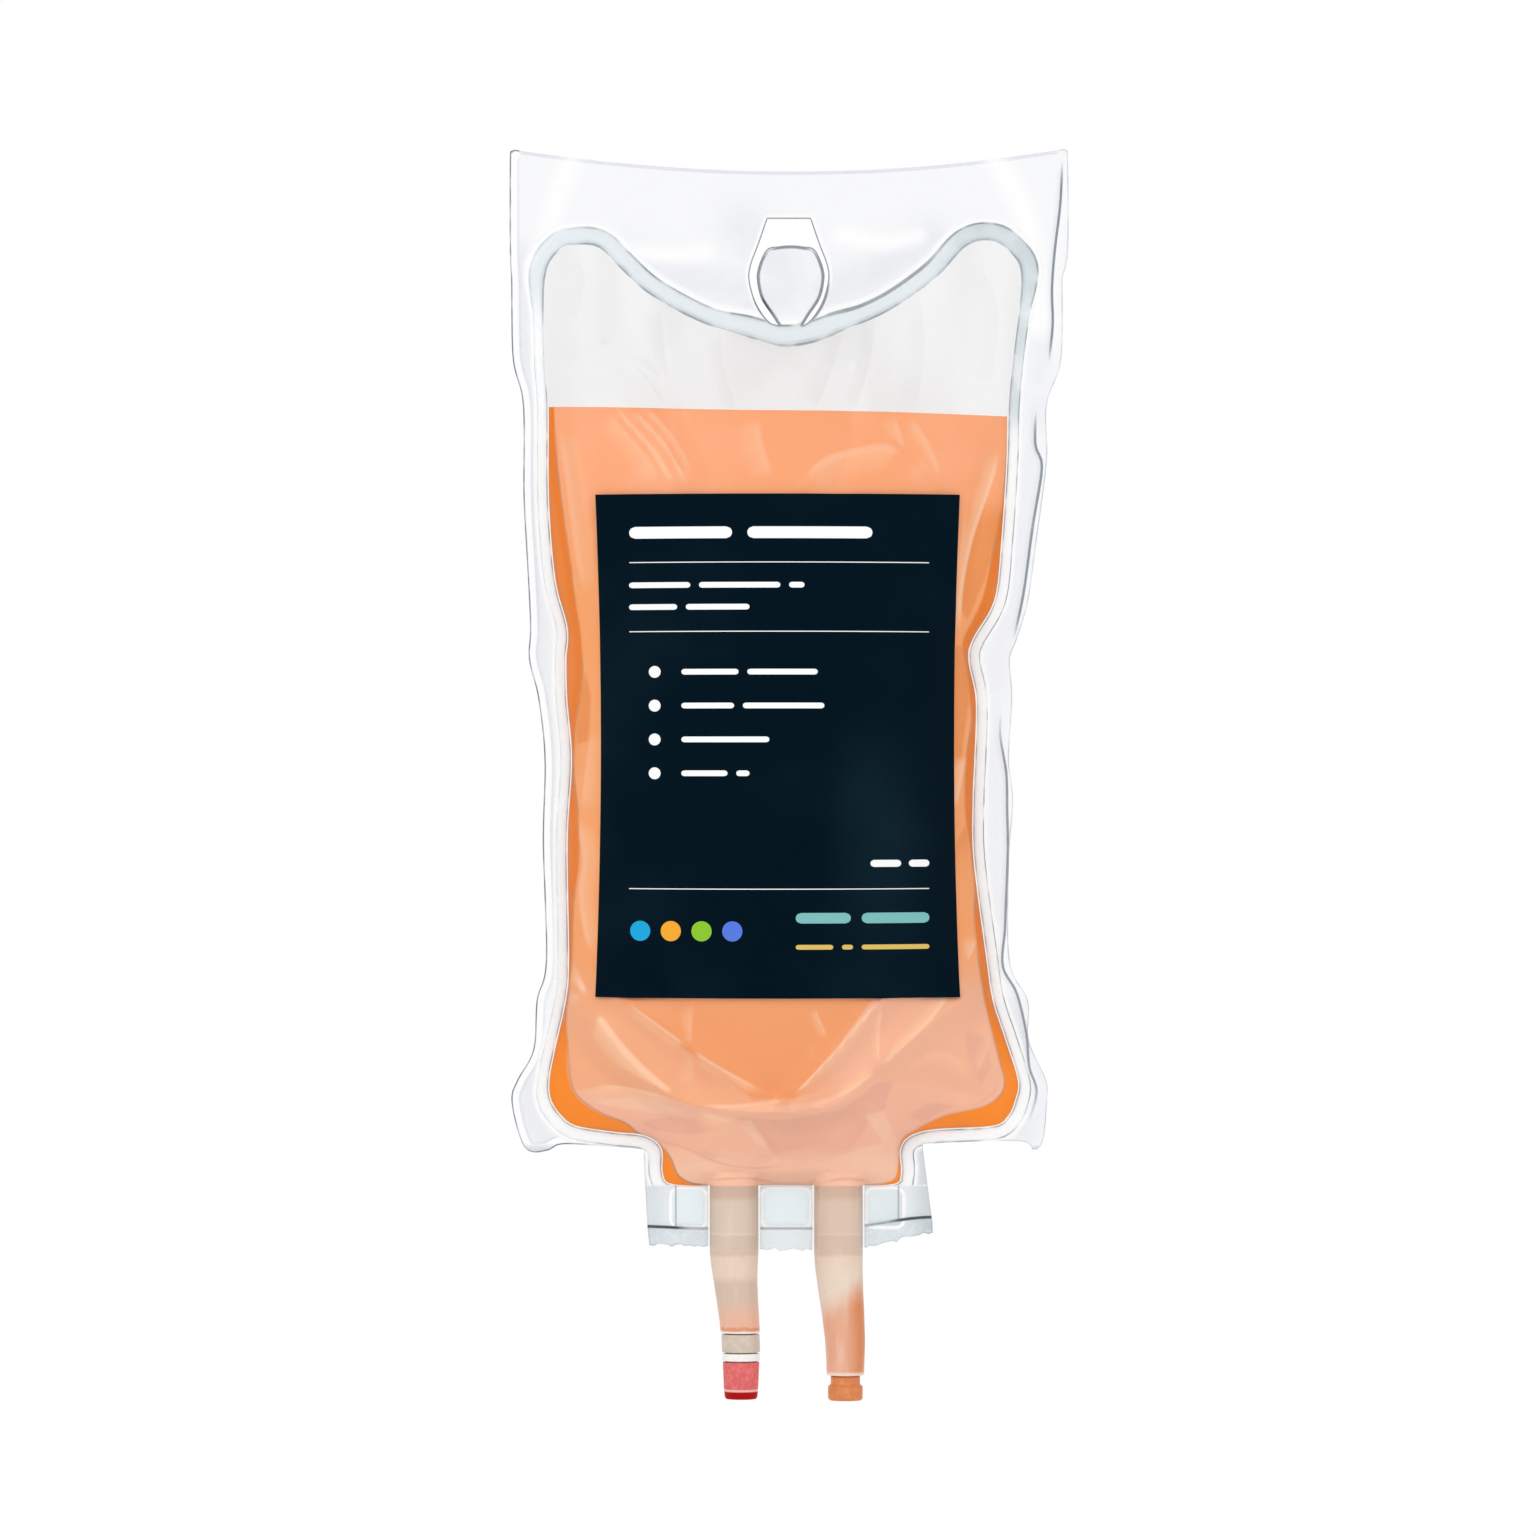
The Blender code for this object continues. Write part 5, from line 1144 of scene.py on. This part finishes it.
def filmFinish(name, front):
    look, at = filmLook, filmPlaces
    paint = Finish(name, Roughness=0.16, IOR=1.49, Specular_IOR_Level=0.5)
    across, _, height = paint.axes()
    apart = across.size()
    weldBand, cutEdge, eyeletEdge, padIn, humpUp, chamberIn = paint.fields(*filmKeys[:6])
    paleSide, paleShow, drySide, dryShow, side, show, glow, dusk = paint.fields(*filmKeys[6:])
    cloud, fine = paint.grain(0.006, 1.0), paint.grain(0.0010, 0.0)
    streak = paint.grain(0.0110, 0.0, (1.0, 1.0, 0.16))
    overFluid = height - across * film["fluidTilt"] - film["fluidLevel"]
    inside = chamberIn.between(0.0, 0.3)
    wetPart = inside * overFluid.between(0.0002, -0.0002)
    dryPart = inside * overFluid.between(-0.0002, 0.0002)

    # the bead, white at its sides, with thin grey outlines of painted shade, painted shade inside both edges
    # and down its upper right, and a painted highlight (halo) just outside it; it gives way to the neck's
    # pads
    neck = height.between(film["neckFloor"] + 0.0006, film["neckFloor"])
    onBead = 1.0 - neck
    bead = weldBand.between(-0.02, 0.06) * weldBand.between(1.02, 0.94) * onBead
    upper = height.between(*at["upper"])
    shaded = weldBand.between(0.32, 0.10).most(weldBand.between(0.76, 0.94) * 0.6)
    beadShade = bead * shaded * (0.35 + cloud.between(0.35, 0.60) * 0.65) * (0.30 + upper * 0.70)
    left, right = across.between(*at["leftSide"]), across.between(*at["rightSide"]) * upper
    halo = weldBand.between(0.98, 1.04) * weldBand.between(1.5, 1.1) * onBead
    wander = cloud.between(0.30, 0.62)
    innerLine = weldBand.near(0.02, 0.085, 0.03) * onBead * (0.25 + wander * 0.75)
    slope = across.between(*at["slopeFrom"]) * across.between(*at["slopeTo"]) * upper
    outerLine = weldBand.near(0.99 - slope * 0.04, 0.085 + slope * 0.07, 0.03 + slope * 0.04) * onBead
    outerLine = outerLine * (0.20 + wander * 0.80).most(slope) * (1.0 - left * 0.6)

    # neck: pads with white rims and painted shade along their feet, side strips with a seam, the painted
    # shadow line along the ledge under the pads' edge, and the torn hem
    bare = 1.0 - humpUp.between(0.4, 1.2)
    lifted = across.between(*at["ledgeRight"]) * film["hemSkew"]
    lifted = lifted + across.between(*at["ledgeLeft"]) * at["ledgeLift"]
    overLedge = height - (ledge + lifted)
    pad = padIn.between(-0.75, -0.45) * neck
    padRim = padIn.near(-0.95, 0.60, 0.25) * neck * bare
    padFoot = pad * overLedge.between(0.0016, 0.0004)
    hem = overLedge.between(0.0001, -0.0001) * bare
    # a grey line of painted shadow along the ledge, dark towards its ends
    ledgeShadow = overLedge.size().between(0.00048, 0.00016) * bare
    ends = apart.between(*at["ends"])
    seam = apart.near(at["seam"] - at["seamLean"] * across.between(-0.001, 0.001), 0.00032, 0.00010)
    seam = seam * neck * overLedge.between(0.0, 0.0003)

    # flange: its grey lines of painted shade, with painted shade on their inner side and a painted highlight
    # beyond, the long top edge, the left edge and the eyelet's slit
    flange = (1.0 - inside) * (1.0 - neck)
    line = show * side.size().between(1.15, 0.55) * flange
    lineShade = show * side.between(-0.2, 0.2) * side.between(5.0, 0.6) * flange
    beyond = show * side.between(0.2, -0.6) * flange
    # glow is a painted highlight and dusk a painted shade on the flange
    glow = glow * flange
    dusk = dusk * flange * (0.65 + cloud * 0.7)
    # grey bands of painted shade along the cut edges, darker on the left, and beside the left edge a clearer
    # strip with painted shade next to it
    topZone = height.between(*at["topZone"]) * apart.between(*at["topEnds"])
    topBand = cutEdge.between(0.95, 0.70) * topZone
    belowTop = 1.0 - topZone
    sideEdge = cutEdge.between(0.42, 0.10) * belowTop * bare * (0.45 + left * 0.55) * (0.45 + wander * 0.55)
    leftFlange = left * flange * belowTop
    gap = cutEdge.between(1.75, 1.55) * leftFlange
    gapShade = cutEdge.near(2.0, 0.5, 0.1) * leftFlange
    tongueAcross = (across - film["tongueShift"]) / at["tongueHalf"]
    tongueUp = (height - at["tongueMiddle"]) / at["tongueTall"]
    inTongue = (tongueAcross ** 2.0 + tongueUp ** 2.0).between(1.25, 1.0)
    # the slit is outlined in painted shade, thicker round the tongue and darkest at its lower left; rim is a
    # painted highlight round the eyelet
    slit = eyeletEdge.between(0.42, 0.18).most(eyeletEdge.between(0.86, 0.52) * inTongue)
    slitShade = eyeletEdge.between(1.5, 0.2) * inTongue
    slitDark = eyeletEdge.between(0.62, 0.35) * inTongue
    slitDark = slitDark * across.between(*at["darkAcross"]) * height.between(*at["darkHeight"])
    rim = eyeletEdge.between(1.3, 0.5) * (1.0 - inTongue)
    # pale is a painted highlight along the creases over the liquid
    pale = paleShow * paleSide.size().between(1.3, 0.5) * wetPart
    # dry is a painted shade beside the creases in the headspace
    dry = dryShow * drySide.between(0.5, -0.2) * drySide.between(-5.0, -0.5) * dryPart

    # the bead is greyer across the top and whiter down the sides and along the foot
    whiter = apart.between(*at["whiterSides"]) * height.between(*at["whiterBelow"])
    whiter = whiter.most(height.between(*at["whiterFoot"])) * 0.8
    stripZone = neck.most(height.between(*at["besideNeck"]) * flange)
    # the side strips darken towards their outer ends, most on the right, and the pads towards the right:
    # painted shade
    stripDim = across.between(*at["stripRight"]).most(across.between(*at["stripLeft"]) * 0.5)
    # whites: the hem's specks, the pads' rims and the painted highlights; greys: the seam and the lines of
    # painted shade and shadow
    whites = (hem * fine.between(0.50, 0.70) * 0.15).most(padRim).most(glow).most(halo).most(pale).most(rim)
    greys = innerLine.most(outerLine).most(line).most(sideEdge).most(slit).most(seam * 0.7).most(ledgeShadow * 0.7)
    colour = paint.blend(dryPart, look["clear"], look["dry"])
    colour = paint.coats(colour, look, (
        (stripZone, "strip"), (stripZone * stripDim, "stripEnd"),
        (hem * (1.0 - apart.between(*at["hemEnds"]) * 0.7), "hem"), (pad, "pad"),
        ((pad * across.between(*at["padEnd"]) * 0.5).most(padFoot * 0.4), "stripEnd"), (whites, "white")))
    colour = paint.blend(bead, colour, paint.blend(whiter, look["bead"], look["white"]))
    # painted shade on the bead, then the grey and dark lines of painted shade
    colour = paint.coats(colour, look, (
        (beadShade * (0.80 - left * 0.20), "beadShade"),
        (bead * right * (0.35 + cloud.between(0.35, 0.65) * 0.30), "beadShade"),
        (greys.most(lineShade * 0.4).most(slitShade * 0.3), "grey"),
        ((ledgeShadow * ends).most(slitDark).most(sideEdge * left * 0.6), "dark")))

    # how solid the film is: more under painted shade (dusk), less under painted highlights (glow), beside the
    # left edge and beyond the flange's lines
    shades = (dusk * look["duskAlpha"]).most(inTongue * look["tongueAlpha"]) - glow * look["glowAlpha"]
    solid = (look["alpha"] + shades) * (1.0 - gap * 0.9) * (1.0 - beyond * 0.35)
    solid = (solid + gapShade * look["gapAlpha"] + lineShade * look["lineAlpha"]).most(topBand * 0.15)
    solid = solid * (1.0 - inside) + inside * look["dryAlpha"]
    solid = solid + dryPart * (streak.between(0.40, 0.66) * look["streakAlpha"] + dry * look["creaseAlpha"])
    solid = solid + dryPart * (apart.between(*at["dryMiddle"]) * look["middleAlpha"])
    wetAlpha = look["wetAlpha"] + pale * look["paleAlpha"] if front else look["wetAlpha"]
    solid = solid * (1.0 - wetPart) + wetPart * wetAlpha
    hemSolid = 0.22 + fine * 0.05 + apart.between(*at["hemFuller"]) * 0.18
    for mark, least in (
            (bead, 0.40), (halo, 0.16), (rim, 0.10), (innerLine, 0.36), (outerLine, 0.40), (line, 0.55),
            (sideEdge, 0.60), (slit, 0.50), (slitShade, 0.20), (slitDark, 0.9), (stripZone * bare, 0.24),
            (pad, 0.27), (padRim, 0.55), (hem, hemSolid), (seam, 0.4), (ledgeShadow, 0.45 + ends * 0.5)):
        solid = solid.most(mark * least)
    facing = paint.node("ShaderNodeLayerWeight", None, Blend=0.35, output="Facing")
    return paint.to(Base_Color=colour, Alpha=(solid + facing ** 4.0 * look["facingAlpha"]).clipped())


fluidLook = {
    "peach": (0.955, 0.370, 0.163), "strip": (0.950, 0.365, 0.122), "warm": (0.900, 0.330, 0.124),
    "patch": (0.850, 0.278, 0.067), "salmon": (0.915, 0.410, 0.212), "rose": (0.925, 0.480, 0.320),
    "dusk": (0.840, 0.415, 0.285), "light": (0.960, 0.570, 0.400), "pale": (0.985, 0.545, 0.320),
    "side": (0.840, 0.195, 0.004), "foot": (0.975, 0.250, 0.004), "shadow": (0.580, 0.225, 0.085),
}
# Where the liquid's tones change, as (from, to) in metres
fluidPlaces = {
    "bottom": (-0.164, -0.186), "strip": (-0.058, -0.090), "cloudy": (-0.168, -0.150),
    "patchFrom": (-0.0635, -0.0700), "patchTo": (-0.152, -0.140), "roseAcross": (0.002, 0.014),
    "neckLight": (-0.2125, -0.2165), "neckAcross": (0.0, 0.016), "foot": (-0.176, -0.198),
    "sidePatch": (-0.196, -0.176), "rim": (-0.045, -0.055),
}


def fluidFinish():
    look, at = fluidLook, fluidPlaces
    paint = Finish("peachSolution", Roughness=0.35, Specular_IOR_Level=0.2)
    across, _, height = paint.axes()
    panelIn, paleSide, paleShow, shadowSide, shadowShow = paint.fields(*fluidKeys[:5])
    cloud, fine = paint.grain(0.016, 3.0), paint.grain(0.0030, 3.0)
    creased = (fine - 0.5) * 0.7
    bottom = height.between(*at["bottom"])

    def facet(key, edge, core, fade):
        # strongest just inside its creased edge, fading inwards
        deep = paint.field(key) + creased
        return deep.between(-0.45, 0.45) * (core + (edge - core) * deep.between(fade, 0.0))

    patch = facet("warm", 0.95, 0.80, 9.0) * height.between(*at["patchFrom"]) * height.between(*at["patchTo"])
    neckLight = height.between(*at["neckLight"]) * (0.5 + across.between(*at["neckAcross"]) * 0.3)
    # painted highlights along the creases, with a softer painted highlight spreading to one side
    ridge = paleShow * paleSide.size().between(1.3, 0.4)
    skirt = paleShow * paleSide.between(0.6, -0.2) * paleSide.between(-6.5, -0.6) * 0.72
    colour = paint.coats(look["peach"], look, (
        (height.between(*at["strip"]), "strip"),
        (cloud.between(0.42, 0.70) * 0.10 * height.between(*at["cloudy"]), "light"), (patch, "patch"),
        (bottom, "salmon"), (facet("warm", 1.0, 0.92, 14.0) * bottom, "warm"),
        (facet("salmon", 0.95, 0.75, 10.0) * across.between(*at["roseAcross"]) * bottom, "rose"),
        (facet("rose", 0.85, 1.0, 4.0), "rose"), (facet("dusk", 0.80, 0.50, 6.0), "dusk"),
        (facet("light", 0.65, 0.40, 4.0), "light"), (cloud.between(0.58, 0.75) * 0.30 * bottom, "light"),
        (fine.between(0.60, 0.80) * 0.25 * bottom, "dusk"), (neckLight, "light"),
        (ridge.most(skirt).clipped(), "pale")))
    # outside the lit panel the bag turns away and the liquid is a deep orange, with a thin shaded rim
    sidePatch = panelIn.between(-1.2, -2.0) * 0.35 * height.between(*at["sidePatch"])
    deep = paint.coats(look["side"], look, ((height.between(*at["foot"]), "foot"), (sidePatch, "patch")))
    colour = paint.blend(panelIn.between(0.12, -0.22), colour, deep)
    rim = panelIn.near(0.05, 0.42, 0.08) * (0.25 + cloud.between(0.40, 0.60) * 0.55)
    rim = rim * height.between(*at["rim"])
    colour = paint.coats(colour, look, (
        (rim, "shadow"), (shadowShow * shadowSide.size().between(1.2, 0.4) * 0.8, "dusk")))
    return paint.to(Base_Color=colour, Normal=paint.relief(cloud, 0.05, 0.001))


labelLook = {
    "navy": (0.0004, 0.0065, 0.0130), "lighter": (0.0045, 0.0165, 0.0265),
    "sheenAt": (0.021, -0.145), "sheenHalf": (0.016, 0.040),
}


def labelFinish():
    paint = Finish("labelStock", Roughness=0.60, Specular_IOR_Level=0.02)
    across, _, height = paint.axes()
    cloud, weave = paint.grain(0.030, 2.0), paint.grain(0.0004, 1.0)
    # a painted sheen lightens the label in one place, with random clouds of the lighter colour
    places = zip((across, height), labelLook["sheenAt"], labelLook["sheenHalf"])
    first, second = (axis.near(middle, half, 0.0) for axis, middle, half in places)
    lit = (first * second * 0.75 + cloud.between(0.45, 0.8) * 0.35).clipped()
    colour = paint.blend(lit, labelLook["navy"], labelLook["lighter"])
    return paint.to(Base_Color=colour, Normal=paint.relief(weave, 0.08, 0.0001))


inkColours = {
    "White": (0.94, 0.95, 0.95), "Teal": (0.20, 0.50, 0.50), "Gold": (0.72, 0.50, 0.12),
    "Cyan": (0.01, 0.38, 0.72), "Amber": (0.90, 0.40, 0.03), "Leaf": (0.25, 0.55, 0.03),
    "Iris": (0.09, 0.19, 0.72),
}


def inkFinish(colour):
    paint = Finish("ink" + colour, Roughness=0.5, Specular_IOR_Level=0.1)
    base = inkColours[colour]
    speck = paint.grain(0.0006, 2.0)
    shade = paint.blend(speck.between(0.62, 0.80) * 0.12, base, tuple(part * 0.8 for part in base))
    return paint.to(Base_Color=shade, Normal=paint.relief(speck, 0.05, 0.00003))


tubeLook = {
    "root": (0.62, 0.430, 0.315), "beige": (0.715, 0.555, 0.440), "pale": (0.790, 0.625, 0.495),
    "dim": (0.66, 0.505, 0.395), "peach": (0.795, 0.400, 0.255), "deep": (0.680, 0.215, 0.060),
    "blush": (0.820, 0.460, 0.325), "cream": (0.90, 0.82, 0.74), "edge": (0.50, 0.37, 0.28),
}
# The tubes' bands from the root down, as (from, to) heights in metres
tubePlaces = {
    "root": (-0.2242, -0.2262), "ridge": -0.2333, "band": (-0.2335, -0.2338), "belowBand": (-0.2378, -0.2388),
    "warmer": (-0.2400, -0.2350), "creamier": (-0.2388, -0.2440), "stained": (-0.2455, -0.2525),
    "deeper": (-0.2440, -0.2530), "deepSide": (-0.0010, 0.0046), "outletEnd": (-0.2648, -0.2656),
    "dimmer": (-0.2425, -0.2450), "blushing": (-0.2470, -0.2545), "line": -0.2552,
    "injectionEnd": (-0.2556, -0.2559), "sides": (0.0043, 0.0056),
}


def tubeFinish(name, centre, isOutlet):
    at = tubePlaces
    paint = Finish(name, Roughness=0.34, Specular_IOR_Level=0.3)
    across, _, height = paint.axes()
    mottle, fine = paint.grain(0.0022, 3.0), paint.grain(0.0007, 2.0)
    streak = paint.grain(0.0030, 2.0, (1.0, 1.0, 0.18))
    spot = height + (mottle - 0.5) * 0.0014
    off = across - centre - ports["lean"] * height.between(straightEnd, straightEnd - ports["leanLength"])
    slope = spot - off * 0.55
    coats = [(spot.between(*at["root"]), "beige"), (height.near(at["ridge"], 0.0004, 0.0001) * 0.6, "pale"),
             (spot.between(*at["band"]) * 0.75, "dim"), (spot.between(*at["belowBand"]), "pale")]
    if isOutlet:
        coats += [(spot.between(*at["warmer"]) * 0.16, "peach"),
                  (spot.between(*at["creamier"]) * 0.16, "cream"),
                  (slope.between(*at["stained"]), "peach"),
                  # deeper orange towards the tube's right side: painted shade
                  (slope.between(*at["deeper"]) * off.between(*at["deepSide"]) * 0.9, "deep"),
                  (height.between(*at["outletEnd"]) * 0.7, "cream")]
    else:
        coats += [(spot.between(*at["dimmer"]), "dim"), (spot.between(*at["blushing"]), "blush"),
                  (spot.near(at["line"], 0.0006, 0.0002) * 0.6, "deep"),
                  (height.between(*at["injectionEnd"]), "cream")]
    # paler streaks, then darker towards the tube's sides, painted shade on the round, and a fine speckle in
    # that darker colour
    coats += [(streak.between(0.50, 0.80) * 0.22, "cream"), (off.size().between(*at["sides"]) * 0.35, "edge"),
              (fine.between(0.55, 0.75) * 0.10, "edge")]
    colour = paint.coats(tubeLook["root"], tubeLook, coats)
    return paint.to(Base_Color=colour, Normal=paint.relief(mottle, 0.15, 0.0002))


# Moulded plastic and rubber: two near tones, and a darker foot with a pale line over it where named
mouldedLook = {
    "injectionBody": {"name": "siteBodyPlastic", "first": (0.61, 0.51, 0.42), "second": (0.68, 0.58, 0.48),
                      "roughness": 0.35, "grain": 0.0016, "level": 0.35},
    "injectionRing": {"name": "whiteBand", "first": (0.90, 0.87, 0.85), "second": (0.96, 0.94, 0.93),
                      "roughness": 0.4, "grain": 0.0016, "level": 0.35},
    "injectionStopper": {"name": "stopperRubber",
                         "first": (0.72, 0.130, 0.135), "second": (0.80, 0.205, 0.195),
                         "roughness": 0.55, "grain": 0.0010, "level": 0.12, "footFrom": -0.2694,
                         "foot": (0.42, 0.0001, 0.0001), "line": (0.90, 0.62, 0.56)},
    "outletCap": {"name": "orangeCap", "first": (0.68, 0.215, 0.070), "second": (0.77, 0.285, 0.110),
                  "roughness": 0.45, "grain": 0.0016, "level": 0.25},
    "membrane": {"name": "membranePlastic", "first": (0.80, 0.72, 0.60), "second": (0.86, 0.80, 0.70),
                 "roughness": 0.4, "grain": 0.0016, "level": 0.35},
}


def mouldedFinish(key):
    look = mouldedLook[key]
    paint = Finish(look["name"], Roughness=look["roughness"], Specular_IOR_Level=look["level"])
    _, _, height = paint.axes()
    speck = paint.grain(look["grain"], 3.0)
    colour = paint.blend(speck.between(0.40, 0.72), look["first"], look["second"])
    if "foot" in look:
        foot = look["footFrom"]
        colour = paint.coats(colour, look, (
            (height.between(foot + 0.00015, foot - 0.00015), "foot"),
            (height.near(foot, 0.0004, 0.0001) * 0.8, "line")))
    return paint.to(Base_Color=colour, Normal=paint.relief(speck, 0.2, 0.00015))


def dress(piece, material):
    piece.data.materials.clear()
    piece.data.materials.append(material)


dress(frontFilm, filmFinish("clearFilmFront", True))
dress(backFilm, filmFinish("clearFilmBack", False))
dress(fluid, fluidFinish())
dress(label, labelFinish())
for colour, piece in inks.items():
    dress(piece, inkFinish(colour))
dress(portPieces["injectionTube"], tubeFinish("frostedTubeInjection", portCentres[0], False))
dress(portPieces["outletTube"], tubeFinish("frostedTubeOutlet", portCentres[1], True))
for key in ("injectionBody", "injectionRing", "injectionStopper", "outletCap"):
    dress(portPieces[key], mouldedFinish(key))
dress(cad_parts["outlet_port_membrane"], mouldedFinish("membrane"))
print("stage: finishes made")


# Stage: pale floor, white surroundings, soft lamps and a long lens straight on
studio = {
    "floor": -0.42, "floorHalf": 1.10, "world": 0.74, "aim": -0.12,
    "eye": (-0.0048, -2.0, -0.1263), "field": 0.3533, "sensor": 36.0,
    # lamps as (place, size, power)
    "lamps": {"keyLamp": ((-0.8, -1.3, 0.7), 1.0, 7.0), "fillLamp": ((1.1, -1.0, 0.1), 1.2, 3.0),
              "backLamp": ((0.2, 1.3, 0.8), 1.2, 3.0)},
}
deselect()
bpy.ops.mesh.primitive_plane_add(size=2 * studio["floorHalf"], location=(0.0, 0.0, studio["floor"]))
floor = bpy.context.object
floor.name = "studioFloor"
paint = Finish("paleFloor", Roughness=0.9, Specular_IOR_Level=0.0)
tone = paint.blend(paint.grain(0.4, 1.0) * 0.2, (0.98, 0.98, 0.98), (0.96, 0.96, 0.96))
dress(floor, paint.to(Base_Color=tone))

world = bpy.data.worlds.new("whiteRoom")
bpy.context.scene.world = world
world.use_nodes = True
room = NodeTree(world.node_tree)
room.nodes.remove(room.nodes["Background"])
path = room.node("ShaderNodeLightPath").socket.node
direct, glossy, through = (Wire(room, path.outputs[f"Is {kind} Ray"])
                           for kind in ("Camera", "Glossy", "Transmission"))
lit, shown = (room.node("ShaderNodeBackground", None, (1.0, 1.0, 1.0, 1.0), strength)
              for strength in (studio["world"], 1.0))
mixed = room.node("ShaderNodeMixShader", None, direct.most(glossy).most(through), lit, shown)
room.feed(room.nodes["World Output"].inputs["Surface"], mixed)

for name, (place, size, power) in studio["lamps"].items():
    deselect()
    bpy.ops.object.light_add(type="AREA", location=place)
    lamp = bpy.context.object
    lamp.name = name
    lamp.data.shape, lamp.data.size, lamp.data.energy = "SQUARE", size, power
    aim = floor.location.copy()
    aim.z = studio["aim"]
    lamp.rotation_euler = (aim - lamp.location).to_track_quat("-Z", "Y").to_euler()

deselect()
bpy.ops.object.camera_add(location=studio["eye"], rotation=(pi / 2, 0.0, 0.0))
camera = bpy.context.object
camera.name = "camera"
camera.data.sensor_width = studio["sensor"]
camera.data.lens = studio["sensor"] * -studio["eye"][1] / studio["field"]
camera.data.clip_start, camera.data.clip_end = 0.05, 20.0
bpy.context.scene.camera = camera
bpy.context.scene.view_settings.view_transform = "Standard"

deselect()
print("stage: scene ready")
